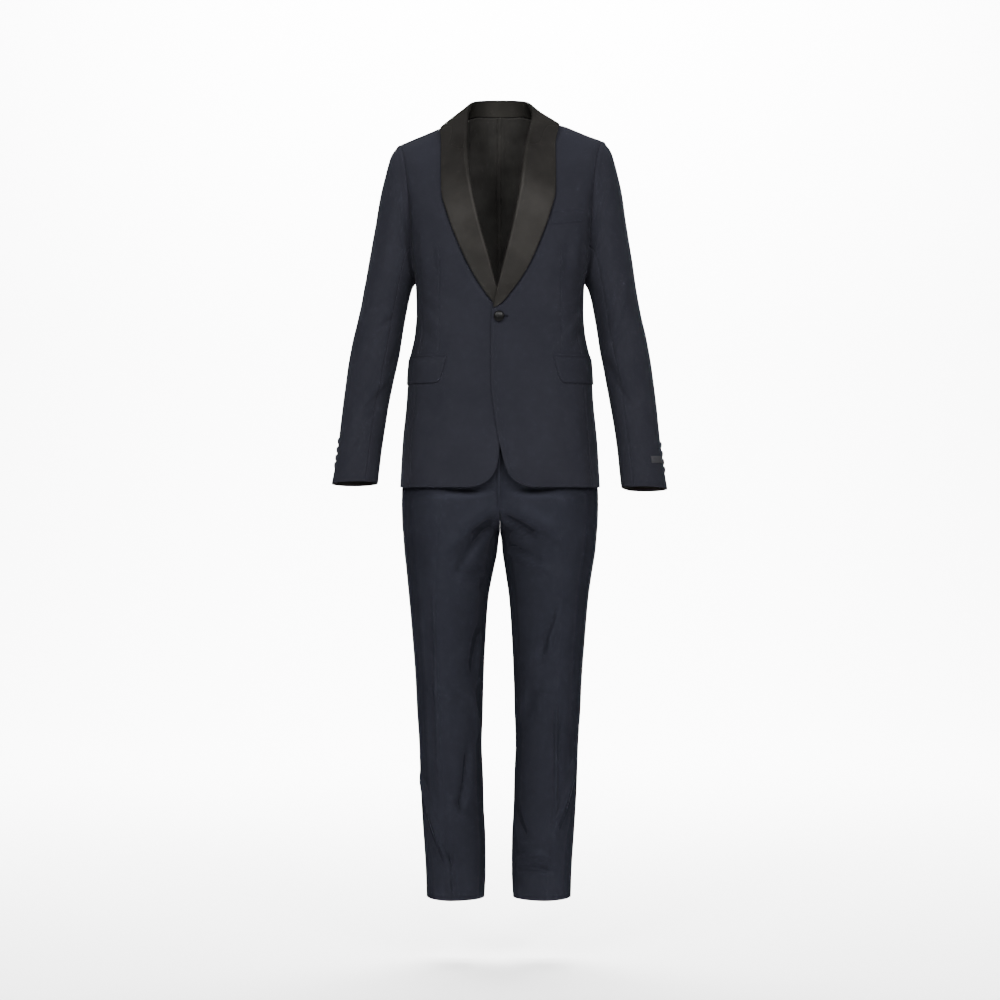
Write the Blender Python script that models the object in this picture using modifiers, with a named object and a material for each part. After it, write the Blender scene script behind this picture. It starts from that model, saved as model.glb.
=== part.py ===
"""Tuxedo: a one-button shawl-collar jacket over tapered trousers, filled out with nobody in it.

Run with: blender --background --python part.py

The origin is at the middle of the neck, +X is the wearer's left, +Y the wearer's back and +Z up.
Sizes below are in millimetres, and the meshes are made in metres. Every cloth piece is a wall of
its real thickness between an outer and an inner grid of points, because each is a loft through
sections that differ. Both grids come from two forms: the torso and the trousers.
"""

import math

import bmesh
import bpy
import numpy as np
from mathutils import Vector

MM = 0.001
LEFT, RIGHT = 1, -1  # the wearer's sides, as the sign of X
SIDES = {"left": LEFT, "right": RIGHT}

# Cloth
SUITING = 1.8
TROUSER_CLOTH = 1.4
LAPEL_CLOTH = 2.2
STAND_CLOTH = 1.6
FLAP_CLOTH, JET_CLOTH, WELT_CLOTH = 2.0, 1.2, 1.6
WAISTBAND_CLOTH = 2.4
LINING_CLOTH = 1.0
LINING_GAP = 0.6
LINING_FOOT_Z = -420.0
PLEAT_DEPTH = 3.5
RIBBON = 1.0
SEAM_GAP = 0.3
LAID_GAP = 0.8  # between a panel and what lies on it, so that their flat facets stay clear

# Jacket
JACKET_HEM = -697.0
UNDERARM_Z = -300.0
WAIST_BLEND_Z = -420.0  # above this the side seams lean towards the armhole
SHOULDER_X, SHOULDER_Y, SHOULDER_Z = 196.0, 13.0, -28.0
SHOULDER_SLOPE = 0.42
YOKE_Z = -130.0  # above this the rows tip to follow the shoulder seam
NECK_HALF, NECK_BACK_Y, NECK_Z = 74.0, 74.0, 35.0
ROUNDNESS = 2.4  # exponent of the body's sections: 2 is an ellipse
SHOULDER_CURVE = 0.78  # under 1 the chest and the back round out sooner below the shoulder seam
ARMHOLE_STEP = 20  # degrees round the armhole, shared by the body's rows and the sleeve's columns
JUNCTION = 140  # degrees from the shoulder at which the side body's seams meet the armhole
FRONT_SEAM_ANGLE, BACK_SEAM_ANGLE = 62.0, 60.0  # from centre front and centre back, below the waist

# Trousers
WAISTBAND_TOP, WAISTBAND_BOTTOM = -533.0, -570.0
CROTCH_Z = -783.0
TROUSER_HEM = -1496.0
CREASE_RIDGE = 4.0
STRIPE_HALF = 11.0

# Buttons
FRONT_BUTTON_PLACE = (-1.9, -371.0)  # x and z
FRONT_BUTTON_RADIUS, FRONT_BUTTON_HEIGHT = 10.0, 5.0
BUTTON_SHANK = 1.8
CUFF_BUTTON_RADIUS, CUFF_BUTTON_HEIGHT = 7.4, 3.4
CUFF_BUTTON_SPACING = 15.8


def join_smoothly(xs, ys, x):
    """A smooth curve through the points that never swings past them."""
    step = np.diff(xs)
    slope = np.diff(ys) / step
    before, after = slope[:-1], slope[1:]
    same_way = before * after > 0
    mean = np.where(same_way, 2 * before * after / np.where(same_way, before + after, 1), 0)
    tangent = np.concatenate([slope[:1], mean, slope[-1:]])
    x = np.clip(x, xs[0], xs[-1])
    i = np.clip(np.searchsorted(xs, x, side="right") - 1, 0, len(step) - 1)
    t = (x - xs[i]) / step[i]
    ends = ys[i] * (1 + 2 * t) * (1 - t) ** 2 + ys[i + 1] * (3 - 2 * t) * t**2
    return ends + step[i] * (tangent[i] * t * (1 - t) ** 2 - tangent[i + 1] * t**2 * (1 - t))


class Table:
    """Named columns against the first one, read at any height between the rows."""

    def __init__(self, names, *rows):
        columns = np.array(sorted(rows), float).T
        self.key = columns[0]
        self.columns = dict(zip(names.split()[1:], columns[1:]))

    def at(self, name, key):
        return join_smoothly(self.key, self.columns[name], np.asarray(key, float))


class Folds:
    """Soft ridges, or troughs if minus, along straight lines on a form's own two measures."""

    def __init__(self, scales, names, *rows):
        self.scales = scales  # millimetres to one unit of each measure
        self.columns = dict(zip(names.split(), np.array(rows, float).T))

    def height(self, u, v):
        c = self.columns
        run = np.stack([c["to_u"] - c["from_u"], c["to_v"] - c["from_v"]]) * np.reshape(self.scales, (2, 1))
        u = (np.asarray(u, float)[..., None] - c["from_u"]) * self.scales[0]
        v = (np.asarray(v, float)[..., None] - c["from_v"]) * self.scales[1]
        along = np.clip((u * run[0] + v * run[1]) / (run**2).sum(axis=0), 0, 1)
        away = np.hypot(u - along * run[0], v - along * run[1])
        return (c["height"] * (1 - smooth_step(away / c["half_width"]))).sum(axis=-1)


TORSO = Table(
    "z half_width front_y back_y side_y",
    (60, 208, -100, 100, 13),
    (-28, 207, -116, 110, 12),
    (-110, 199, -121, 122, 10),
    (-155, 194, -124, 127, 9),
    (-195, 188, -127, 128, 8),
    (-235, 181, -128, 126, 8),
    (-270, 173, -127, 122, 8),
    (-300, 165, -124, 116, 8),
    (-355, 163, -114, 101, 5),
    (-400, 166.5, -111, 100, 4),
    (-449, 176.5, -111, 107, 5),
    (-542, 183.5, -114, 124, 8),
    (-605, 190, -118, 133, 10),
    (-697, 195.5, -122, 138, 10),
)

# How far below the shoulder seam the chest and the back reach their full depth
SHOULDER_FALL = Table(
    "x front back",
    (0, 190, 150),
    (110, 190, 150),
    (190, 100, 90),
    (210, 95, 85),
)

ARMHOLE = Table(
    "z front_x back_x",
    (-28, 196, 196),
    (-45, 190.5, 191),
    (-70, 185, 186),
    (-110, 180, 180),
    (-155, 176.5, 177),
    (-195, 174, 175),
    (-235, 171, 172),
    (-270, 168, 169),
    (-290, 166, 166.3),
    (-300, 165, 165),
)

# Free edge of each front, as a distance from the centre towards the wearer's own side. Below the
# button it is the front edge and the cutaway corner, above it the roll line, then the neck seam.
FRONT_EDGE = Table(
    "z left right",
    (22, 74, 74),
    (0, 68, 72),
    (-25, 58, 69),
    (-75, 48, 64),
    (-130, 40, 56),
    (-170, 32, 47),
    (-215, 22, 36),
    (-265, 9.5, 21.5),
    (-300, 1, 13),
    (-325, -5, 5),
    (-345, -10, -8),
    (-362, -15, -15),
    (-388, -17, -17),
    (-493, -17, -17),
    (-550, -11.4, -8),
    (-598, -3.8, 0),
    (-626, 2, 1.5),
    (-655, 9.5, 5.5),
    (-678, 21, 17),
    (-691, 38, 34),
    (-697, 57, 57),
)

# The left front stands off the right one where it laps it, most over the right lapel's tip
LEFT_LIFT = Table(
    "z lift",
    (-235, 0),
    (-275, 1.5),
    (-305, 4.5),
    (-318, 6.2),
    (-356, 6.2),
    (-375, 3.6),
    (-410, 2.8),
    (-590, 2.8),
    (-650, 1.0),
    (-697, 0.8),
)
LAP_FULL_X, LAP_GONE_X = 12.0, 60.0

# Shawl lapel on the fronts: roll line and outer edge, from the centre towards the wearer's own side
LAPEL = Table(
    "z left_roll left_outer right_roll right_outer stand_off",
    (-25, 51.7, 107.2, 66, 114.7, 6),
    (-75, 45.5, 107.5, 62.5, 114, 6),
    (-130, 37.5, 107, 54, 112.7, 5.5),
    (-170, 29.5, 97, 45, 102.5, 5),
    (-215, 20, 81, 34, 86.5, 4.5),
    (-265, 7.5, 59.5, 19.5, 64.5, 3.5),
    (-300, -1, 39.5, 11, 45, 2),
    (-325, -7, 21, 3, 28.5, 0.5),
    (-345, -11.5, 4, -2, 13, 0),
    (-355, -13.5, -9.5, 2, 7, 0),
)

# The same strip round the neck, from the centre back to the front of the shoulder
COLLAR = Table(
    "row roll_x roll_y roll_z outer_x outer_y outer_z bulge",
    (0, 0, 82, 71.5, 0, 98, 23, 2),
    (1, 27, 79, 71, 44, 96, 22, 2.5),
    (2, 46, 67, 68.5, 80, 83, 18, 2.5),
    (3, 58, 46, 61.5, 103.5, 54, 11, 2.5),
    (4, 63, 20, 46, 116, 16, 8.3, 3),
    (5, 63, -4, 23, 117, -16, 3, 2),
)

# How the set hangs, off from even: the left shoulder sits higher and further out, the left sleeve
# falls lower and closer in, and the legs drift to the right. Lift and out grow from nothing at
# their own distance from the centre.
HANG = Table(
    "z lift lift_from out out_from",
    (60, 8, 75, 5, 165),
    (-28, 8, 75, 5, 165),
    (-110, 6.5, 75, 5, 160),
    (-180, 3, 90, 4, 155),
    (-250, 0.5, 120, 3.5, 155),
    (-300, 0, 160, 1.5, 160),
    (-350, -0.5, 165, 1, 165),
    (-400, -1.5, 168, 0, 168),
    (-450, -2.5, 178, 0, 178),
    (-560, -6, 186, -1, 186),
    (-697, -10, 196, -1.2, 196),
)
LIFT_SPAN, OUT_SPAN = 60.0, 40.0
LEG_DRIFT, DRIFT_TOP_Z, DRIFT_FADE = -2.5, -800.0, 120.0

# Sleeve sections. The outer line is the silhouette away from the body, the inner line faces it.
SLEEVE = Table(
    "station outer_x outer_z inner_x inner_z mid_y half_depth tilt",
    (1, 211, -44, 166.7, -302, 10, 68, 0),
    (2, 220.5, -74, 168.3, -304.5, 11, 71, 0),
    (3, 233, -125, 170.5, -308, 12, 72, 0),
    (4, 242.5, -180, 173, -315, 13, 71, 0),
    (5, 253, -240, 176.5, -328, 13, 69, 0),
    (6, 264, -302, 181, -350, 12, 66, 0),
    (7, 274.5, -357, 187, -383, 9, 62.5, 0),
    (8, 287.5, -412, 194.5, -432, 1, 59, 1),
    (9, 298, -478, 207, -494, -12, 55, 2),
    (10, 305.5, -540, 218, -554, -28, 51, 3),
    (11, 311, -604, 227, -616, -46, 47, 4),
    (12, 317, -652, 231.5, -660, -60, 44.5, 5),
    (13, 323.5, -691, 234, -690, -70, 42.5, 5),
)
FRONT_SLEEVE_SEAM = -120  # degrees round the sleeve from its outer line, minus is to the front
BACK_SLEEVE_SEAM = 100
CUFF_SEAM_DRIFT = 62  # degrees that the back seam moves outwards by the cuff
DRIFT_START, DRIFT_LENGTH = 2, 10  # stations over which it does
CUFF_STATION = 13

# Largest sleeve folds: u is the station and v the degrees round the sleeve
SLEEVE_FOLDS = {
    LEFT: Folds(
        (58, 1.1),
        "from_u from_v to_u to_v half_width height",
        (5.6, -60, 7.6, -125, 46, 2.5),
        (8.4, -150, 9.6, -110, 40, -4),
        (9.2, -60, 10.6, -120, 44, 3),
        (6.6, 40, 8.4, 110, 46, 3),
        (8.8, 120, 10.2, 60, 44, 3),
    ),
    RIGHT: Folds(
        (58, 1.1),
        "from_u from_v to_u to_v half_width height",
        (5.6, -110, 7.9, -30, 44, 4),
        (6.9, -130, 8.6, -60, 36, -3.5),
        (8.7, -150, 10.5, -55, 44, 4),
        (6.2, 110, 8.2, 40, 46, 3),
        (9.0, 60, 10.4, 120, 44, 3),
    ),
}

# One trouser leg. crease_x is where the pressed crease runs, in_x is 0 at the centre seams.
LEG = Table(
    "z out_x out_y crease_x front_y back_y in_x in_front_y in_back_y",
    (-533, 150, 0, 78, -91, 88, 0, -95, 84),
    (-570, 157, 2, 82, -93, 94, 0, -98, 90),
    (-640, 178.5, 6, 94, -97, 110, 0, -103, 105),
    (-697, 190.4, 8, 104, -101, 117, 0, -106, 110),
    (-730, 191.1, 9, 110, -101, 117, 0, -99, 107),
    (-755, 190.6, 9, 113, -100, 116, 0, -78, 95),
    (-775, 189.8, 9, 115, -99, 114, 0, -40, 62),
    (-783, 188.8, 9, 116, -98.5, 113, 0, -6, 26),
    (-800, 187.6, 9, 117, -97.5, 111, 2.5, 8, 10),
    (-823, 185.6, 9, 119, -96, 109, 4.5, 9, 9),
    (-854, 181.4, 9, 121, -94, 106, 10, 9, 9),
    (-916, 173.9, 8, 121, -89, 101, 20, 8, 8),
    (-979, 168.4, 7, 118, -84, 95, 24.5, 7, 7),
    (-1072, 161.4, 6, 113, -76, 87, 29, 6, 6),
    (-1135, 158.4, 6, 111, -71, 83, 30.5, 6, 6),
    (-1197, 154.4, 7, 109, -67, 80, 32.5, 7, 7),
    (-1260, 152.4, 8, 107, -63, 77, 30, 8, 8),
    (-1322, 149.4, 9, 103, -60, 76, 28.5, 9, 9),
    (-1384, 145.4, 10, 98, -57, 75, 25.5, 10, 10),
    (-1447, 141.4, 11, 94, -54, 75, 25, 11, 11),
    (-1496, 139.9, 12, 91, -52, 75, 27.5, 12, 12),
)

# Largest trouser folds, on the front and on the back: u is the distance from the centre, v the height
FOLD_FADE = 24.0  # how far from a seam the folds reach their full height
LEG_FOLDS = {
    (LEFT, False): Folds(
        (1, 1),
        "from_u from_v to_u to_v half_width height",
        (20, -800, 75, -742, 22, -3),
        (14, -838, 92, -800, 26, 3),
        (143, -1215, 96, -1345, 30, 4),
        (45, -1262, 84, -1385, 30, -4),
    ),
    (RIGHT, False): Folds(
        (1, 1),
        "from_u from_v to_u to_v half_width height",
        (22, -812, 80, -765, 24, -3),
        (20, -856, 84, -830, 26, 3),
        (146, -1240, 92, -1400, 30, 4),
        (72, -1215, 52, -1330, 30, -4),
    ),
    (LEFT, True): Folds(
        (1, 1),
        "from_u from_v to_u to_v half_width height",
        (30, -830, 120, -870, 34, 3.5),
        (140, -1180, 60, -1300, 34, 4),
    ),
    (RIGHT, True): Folds(
        (1, 1),
        "from_u from_v to_u to_v half_width height",
        (26, -846, 130, -862, 34, 3.5),
        (136, -1225, 56, -1330, 34, 4),
    ),
}

FLAP_TOP, FLAP_BOTTOM = -447.0, -497.0
FLAP_FRONT_ANGLE, FLAP_BACK_ANGLE = 31.0, 97.0
FLAP_SLANT = 4.0  # degrees that the front edge runs back on its way down
FLAP_CORNER = 4.0  # degrees that the rounded lower corners come in
JET_HEIGHT = 6.0
WELT_TOP, WELT_BOTTOM, WELT_RISE = -175.0, -196.0, 6.0
WELT_FRONT_X, WELT_SIDE_X = 99.0, 164.0
LABEL_TOP, LABEL_BOTTOM = 11.53, 11.83  # sleeve stations
LABEL_FRONT_ANGLE, LABEL_BACK_ANGLE = -66.0, -12.0
CUFF_BUTTON_FIRST_Z = -606.0
CUFF_BUTTON_SEAM_OFFSET = 21.0  # degrees from the back seam to the row of buttons


# ---------------------------------------------------------------- forms


def smooth_step(t):
    t = np.clip(t, 0, 1)
    return t * t * (3 - 2 * t)


def shoulder_line(x):
    """Height of the shoulder seam at a distance from the centre."""
    return SHOULDER_Z + SHOULDER_SLOPE * (SHOULDER_X - np.abs(x))


def torso_y(x, z, back):
    """Depth of the jacket body's outer face."""
    x = np.abs(x)
    share = np.clip(x / TORSO.at("half_width", z), 0, 1)
    side_y = TORSO.at("side_y", z)
    full_y = TORSO.at("back_y" if back else "front_y", z)
    y = side_y + (full_y - side_y) * (1 - share**ROUNDNESS) ** (1 / ROUNDNESS)
    ridge_y, ridge_z = SHOULDER_Y, shoulder_line(x)
    if back:
        across_neck = np.sqrt(1 - np.clip(x / NECK_HALF, 0, 1) ** 2)
        ridge_y = SHOULDER_Y + (NECK_BACK_Y - SHOULDER_Y) * across_neck
        ridge_z = np.minimum(ridge_z, NECK_Z)
    fall = SHOULDER_FALL.at("back" if back else "front", x)
    down = np.sin(np.pi / 2 * np.clip((ridge_z - z) / fall, 0, 1)) ** SHOULDER_CURVE
    return ridge_y + (y - ridge_y) * down


def angle_of(x, z):
    """Degrees round the body's section, from the centre line, at which it is x wide."""
    share = np.clip(x / TORSO.at("half_width", z), 0, 1)
    return np.degrees(np.arcsin(share ** (ROUNDNESS / 2)))


def torso_point(z, angle):
    """A point of the body, at an angle from 0 at the centre front to 180 at the centre back."""
    from_centre = np.where(angle > 90, 180 - angle, angle)
    x = TORSO.at("half_width", z) * np.sin(np.radians(from_centre)) ** (2 / ROUNDNESS)
    y = np.where(angle > 90, torso_y(x, z, True), torso_y(x, z, False))
    return np.array([x, y, z])


def torso_normal(z, angle):
    """The body's outward normal, the same whichever panel asks for it."""
    step = 0.5
    around = torso_point(z, np.float64(angle + step)) - torso_point(z, np.float64(angle - step))
    up = torso_point(z + step, np.float64(angle)) - torso_point(z - step, np.float64(angle))
    normal = np.cross(around, up)
    return normal / np.linalg.norm(normal)


def armhole_z(degrees):
    """Height on the armhole, 0 being the shoulder and 180 the underarm."""
    middle, half = (SHOULDER_Z + UNDERARM_Z) / 2, (SHOULDER_Z - UNDERARM_Z) / 2
    return middle + half * math.cos(math.radians(degrees))


def armhole_point(degrees):
    """A point of the armhole seam. Minus is the front half."""
    z = armhole_z(degrees)
    back = degrees > 0
    x = float(ARMHOLE.at("back_x" if back else "front_x", z))
    return np.array([x, float(torso_y(x, z, back)), z])


def seam_share(z, top):
    return smooth_step((z - WAIST_BLEND_Z) / (top - WAIST_BLEND_Z))


def side_body_angle(z, degrees, share):
    """Angle of a column of the side body that ends on the armhole at the given degrees."""
    below = FRONT_SEAM_ANGLE + share * (180 - BACK_SEAM_ANGLE - FRONT_SEAM_ANGLE)
    top = armhole_z(degrees)
    column = "back_x" if degrees > 0 else "front_x"
    at_armhole = float(angle_of(ARMHOLE.at(column, top), top))
    if degrees > 0:
        at_armhole = 180 - at_armhole
    if abs(degrees) == 180:
        at_armhole = 90.0
    return below + (at_armhole - below) * seam_share(z, top)


def seam_angle(z, back):
    """Angle of the seam between the side body and a front or a back."""
    return side_body_angle(z, JUNCTION if back else -JUNCTION, 1 if back else 0)


def side_edge_x(z, back):
    """How far out a front or a back reaches: to its side seam, or to the armhole above that."""
    if z > armhole_z(JUNCTION) - 0.01:
        return float(ARMHOLE.at("back_x" if back else "front_x", z))
    return float(torso_point(z, np.float64(seam_angle(z, back)))[0])


def front_y(side, x, z):
    """Outer face of a jacket front. x counts from the centre towards the wearer's own side."""
    y = torso_y(x, z, False)
    if side == LEFT:
        fade = 1 - smooth_step((x - LAP_FULL_X) / (LAP_GONE_X - LAP_FULL_X))
        y = y - LEFT_LIFT.at("lift", z) * fade
    return y


def leg_bezier(start, start_handle, end_handle, end, count):
    t = np.linspace(0, 1, count)[:, None]
    return (
        start * (1 - t) ** 3
        + 3 * start_handle * t * (1 - t) ** 2
        + 3 * end_handle * t**2 * (1 - t)
        + end * t**3
    )


LEG_CURVE_SAMPLES = 60
QUARTER = 0.56  # handle length that makes a Bezier curve a quarter of an ellipse


def leg_half_section(side, z, back):
    """Outseam to crease, and crease to inseam or centre seam, as two fine runs of (x, y)."""
    read = {name: float(LEG.at(name, z)) for name in LEG.columns}
    out = np.array([read["out_x"], read["out_y"]])
    crease = np.array([read["crease_x"], read["back_y" if back else "front_y"]])
    inner = np.array([read["in_x"], read["in_back_y" if back else "in_front_y"]])
    ridge = math.copysign(CREASE_RIDGE, crease[1])
    behind = crease - np.array([0, ridge])
    outer_run = leg_bezier(
        out,
        out + np.array([0, (behind[1] - out[1]) * QUARTER]),
        behind + np.array([(out[0] - crease[0]) * QUARTER, 0]),
        crease,
        LEG_CURVE_SAMPLES,
    )
    inner_run = leg_bezier(
        crease,
        behind + np.array([(inner[0] - crease[0]) * QUARTER, 0]),
        inner + np.array([0, (behind[1] - inner[1]) * QUARTER]),
        inner,
        LEG_CURVE_SAMPLES,
    )
    for run in (outer_run, inner_run):
        from_seam = np.minimum(run[:, 0] - inner[0], out[0] - run[:, 0])
        height = LEG_FOLDS[side, back].height(run[:, 0], np.full(len(run), z))
        run[:, 1] += np.sign(crease[1]) * height * smooth_step(from_seam / FOLD_FADE)
    return outer_run, inner_run


def sleeve_seams(station):
    """Angles of the front and the back seam of a sleeve at a station."""
    drift = CUFF_SEAM_DRIFT * smooth_step((station - DRIFT_START) / DRIFT_LENGTH)
    return FRONT_SLEEVE_SEAM, BACK_SLEEVE_SEAM - drift


def signed_degrees(degrees):
    """The same angle from -180, through 0 at the outer line, to 180."""
    return degrees if degrees <= 180 else degrees - 360


def sleeve_point(side, station, degrees):
    """A point of a sleeve's outer face, 0 degrees being the outer line and 180 the inner one."""
    if station < 1:
        near = armhole_point(signed_degrees(degrees))
        far = sleeve_point(side, 1, degrees)
        return near + (far - near) * max(station, 0)
    read = {name: float(SLEEVE.at(name, station)) for name in SLEEVE.columns}
    turn = math.radians(degrees)
    out, across = (1 + math.cos(turn)) / 2, math.sin(turn)
    fold = float(SLEEVE_FOLDS[side].height(station, signed_degrees(degrees)))
    return np.array(
        [
            read["inner_x"] + (read["outer_x"] - read["inner_x"]) * out + fold * math.cos(turn),
            read["mid_y"] + (read["half_depth"] + fold) * across,
            read["inner_z"] + (read["outer_z"] - read["inner_z"]) * out - read["tilt"] * across,
        ]
    )


def sleeve_normal(side, station, degrees, outward):
    """A sleeve's outward normal, the same for its top and its under panel."""
    high, low = min(station + 0.05, CUFF_STATION), max(station - 0.05, 0)
    along = sleeve_point(side, high, degrees) - sleeve_point(side, low, degrees)
    around = sleeve_point(side, station, degrees + 2) - sleeve_point(side, station, degrees - 2)
    normal = np.cross(along, around)
    normal /= np.linalg.norm(normal)
    return normal if normal @ outward > 0 else -normal


def hung(points):
    """World points, in millimetres, as the set hangs."""
    x, y, z = np.moveaxis(np.asarray(points, float), -1, 0)
    lifted = smooth_step((x - HANG.at("lift_from", z)) / LIFT_SPAN)
    moved_out = smooth_step((x - HANG.at("out_from", z)) / OUT_SPAN)
    drift = LEG_DRIFT * smooth_step((DRIFT_TOP_Z - z) / DRIFT_FADE)
    new_x = x + HANG.at("out", z) * moved_out + drift
    return np.stack([new_x, y, z + HANG.at("lift", z) * lifted], axis=-1)


# ---------------------------------------------------------------- meshes


def even_steps(points, count, start=0.0, end=0.0):
    """Points the same distance apart along a run, which may be trimmed at either end."""
    lengths = np.concatenate([[0], np.cumsum(np.linalg.norm(np.diff(points, axis=0), axis=1))])
    wanted = np.linspace(start, lengths[-1] - end, count)
    return np.stack([np.interp(wanted, lengths, column) for column in points.T], axis=1)


def normals_of(grid, outward):
    """Unit normals of a grid of points, on the side that the outward vectors point to."""
    normal = np.cross(np.gradient(grid, axis=0), np.gradient(grid, axis=1))
    normal /= np.maximum(np.linalg.norm(normal, axis=2, keepdims=True), 1e-9)
    return normal * np.where((normal * outward).sum(axis=2, keepdims=True) < 0, -1, 1)


def wall(name, outer, inner, material, side=LEFT):
    """A closed cloth wall between two grids of points, mirrored for the wearer's right."""
    rows, columns = outer.shape[:2]
    body = bmesh.new()
    mirror = np.array([side, 1, 1])
    skins = []
    for skin in (outer, inner):
        skins.append([[body.verts.new(point * MM) for point in row] for row in hung(skin * mirror)])
    for skin in skins:
        for a, b in zip(skin, skin[1:]):
            for i in range(columns - 1):
                body.faces.new((a[i], a[i + 1], b[i + 1], b[i]))
    border = [(0, i) for i in range(columns)]
    border += [(j, columns - 1) for j in range(1, rows)]
    border += [(rows - 1, i) for i in range(columns - 2, -1, -1)]
    border += [(j, 0) for j in range(rows - 2, 0, -1)]
    for (j, i), (l, k) in zip(border, border[1:] + border[:1]):
        body.faces.new((skins[0][j][i], skins[0][l][k], skins[1][l][k], skins[1][j][i]))
    bmesh.ops.recalc_face_normals(body, faces=body.faces)
    return finish(name, body, material)


def finish(name, body, material):
    mesh = bpy.data.meshes.new(name)
    body.to_mesh(mesh)
    body.free()
    mesh.materials.append(material)
    mesh.shade_smooth()
    mesh.set_sharp_from_angle(angle=math.radians(40))
    piece = bpy.data.objects.new(name, mesh)
    collection.objects.link(piece)
    return piece


def cloth(name, grid, outward, thickness, material, side=LEFT, edge_normals=None):
    """A wall whose outer face is the grid. edge_normals changes normals that two pieces share."""
    normals = normals_of(grid, outward)
    if edge_normals:
        edge_normals(normals)
        normals /= np.linalg.norm(normals, axis=2, keepdims=True)
    return wall(name, grid, grid - normals * thickness, material, side)


def turned(name, profile, steps, material):
    """A solid of revolution about Z. The profile is (radius, height) from the top to the bottom."""
    mesh = bpy.data.meshes.new(name)
    points = [(radius * MM, 0, height * MM) for radius, height in profile]
    mesh.from_pydata(points, [(i, i + 1) for i in range(len(points) - 1)], [])
    mesh.materials.append(material)
    piece = bpy.data.objects.new(name, mesh)
    collection.objects.link(piece)
    screw = piece.modifiers.new("turn", "SCREW")
    screw.steps = screw.render_steps = steps
    screw.use_merge_vertices = True
    screw.merge_threshold = 0.00001
    return piece


def stand_on(piece, place, normal):
    """Puts a turned piece's base at a place in millimetres, with its axis along the normal."""
    turn = Vector([float(value) for value in normal]).to_track_quat("Z", "Y")
    piece.location = hung(place) * MM
    piece.rotation_euler = turn.to_euler()


# ---------------------------------------------------------------- jacket body

LOWER_ROWS = [JACKET_HEM, -692, -681, -661, -630, -590, -540, -493, -450, -410, -375, -340]
ARMHOLE_HEIGHTS = [armhole_z(degrees) for degrees in range(180, -1, -ARMHOLE_STEP)]
JUNCTION_Z = armhole_z(JUNCTION)
BLEND_FOOT = LOWER_ROWS[-1]  # the rows above it spread so that the side body's top follows the armhole
BLEND_ROWS = [-320, UNDERARM_Z, armhole_z(160), JUNCTION_Z]
PANEL_ROWS = LOWER_ROWS + BLEND_ROWS + [z for z in ARMHOLE_HEIGHTS if z > JUNCTION_Z + 1]
SIDE_BODY_TOPS = [-JUNCTION, -160, 180, 160, JUNCTION]  # degrees on the armhole
FRONT_COLUMNS = 10
NECK_COLUMNS, SHOULDER_COLUMNS = 4, 7  # of a back: centre to neck point, neck point to armhole
ROW_SAMPLES = 80
SHOULDER_NORMAL = np.array([SHOULDER_SLOPE, 0, 1]) / math.hypot(SHOULDER_SLOPE, 1)


def row_z(edge_z, edge_x, x, back):
    """Height along a row that ends at edge_z: level on the body, tipped like the seam above."""
    share = np.clip((edge_z - YOKE_Z) / (SHOULDER_Z - YOKE_Z), 0, 1)
    rise = SHOULDER_SLOPE * (edge_x - np.abs(x))
    if back:
        rise = np.minimum(rise, NECK_Z - SHOULDER_Z)
    return edge_z + share * rise


def front_run(side, edge_z):
    """A fine run of points across a front, from its free edge to its side edge."""
    name = "left" if side == LEFT else "right"
    edge_x = side_edge_x(edge_z, False)
    inner_x = float(FRONT_EDGE.at(name, edge_z))
    for _ in range(6):
        inner_x = float(FRONT_EDGE.at(name, row_z(edge_z, edge_x, inner_x, False)))
    first = math.copysign(float(angle_of(abs(inner_x), edge_z)), inner_x)
    angles = np.radians(np.linspace(first, float(angle_of(edge_x, edge_z)), ROW_SAMPLES))
    half_width = float(TORSO.at("half_width", edge_z))
    x = np.sign(angles) * np.abs(np.sin(angles)) ** (2 / ROUNDNESS) * half_width
    x[0], x[-1] = inner_x, edge_x
    z = row_z(edge_z, edge_x, x, False)
    return np.stack([x, front_y(side, x, z), z], axis=1)


def back_run(edge_z, first_x, last_x):
    """A fine run of points across a back between two distances from the centre."""
    edge_x = side_edge_x(edge_z, True)
    last_x = edge_x if last_x is None else last_x
    ends = [float(angle_of(end, edge_z)) for end in (first_x, last_x)]
    angles = np.radians(np.linspace(*ends, ROW_SAMPLES))
    x = np.sin(angles) ** (2 / ROUNDNESS) * float(TORSO.at("half_width", edge_z))
    x[0], x[-1] = first_x, last_x
    z = row_z(edge_z, edge_x, x, True)
    return np.stack([x, torso_y(x, z, True), z], axis=1)


def armhole_normal(point, back):
    """What the body and the sleeve share as a normal where they meet, from the shoulder down."""
    height = (point[2] - (SHOULDER_Z + UNDERARM_Z) / 2) / ((SHOULDER_Z - UNDERARM_Z) / 2)
    forward = math.sqrt(max(0, 1 - height**2)) * (1 if back else -1)
    normal = np.array([0.3 + 0.35 * max(height, 0), forward, max(height, 0)])
    weight = smooth_step((height + 0.6) / 0.5)  # none near the underarm, where the panels fold in
    return normal / np.linalg.norm(normal), float(weight)


def share_edge_normals(grid, back):
    """Gives a front or a back the normals of its neighbours along the seams that they share."""

    def change(normals):
        for row, z in enumerate(PANEL_ROWS):
            if z > JUNCTION_Z + 1:
                shared, weight = armhole_normal(grid[row, -1], back)
                normals[row, -1] += (shared - normals[row, -1]) * weight
            else:
                normals[row, -1] = torso_normal(z, seam_angle(z, back))
        normals[-1] = SHOULDER_NORMAL
        normals[-1, -1] = armhole_normal(grid[-1, -1], back)[0]
        if back:
            normals[:, 0, 0] = 0

    return change


def jacket_front(name, side):
    grid = np.stack([even_steps(front_run(side, z), FRONT_COLUMNS, 0, SEAM_GAP / 2) for z in PANEL_ROWS])
    grid[-1, :, 1] -= SEAM_GAP / 2
    outward = np.array([0.3, -1, 0.2])
    shared = share_edge_normals(grid, False)
    cloth("jacket_front_" + name, grid, outward, SUITING, wool, side, shared)


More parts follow.
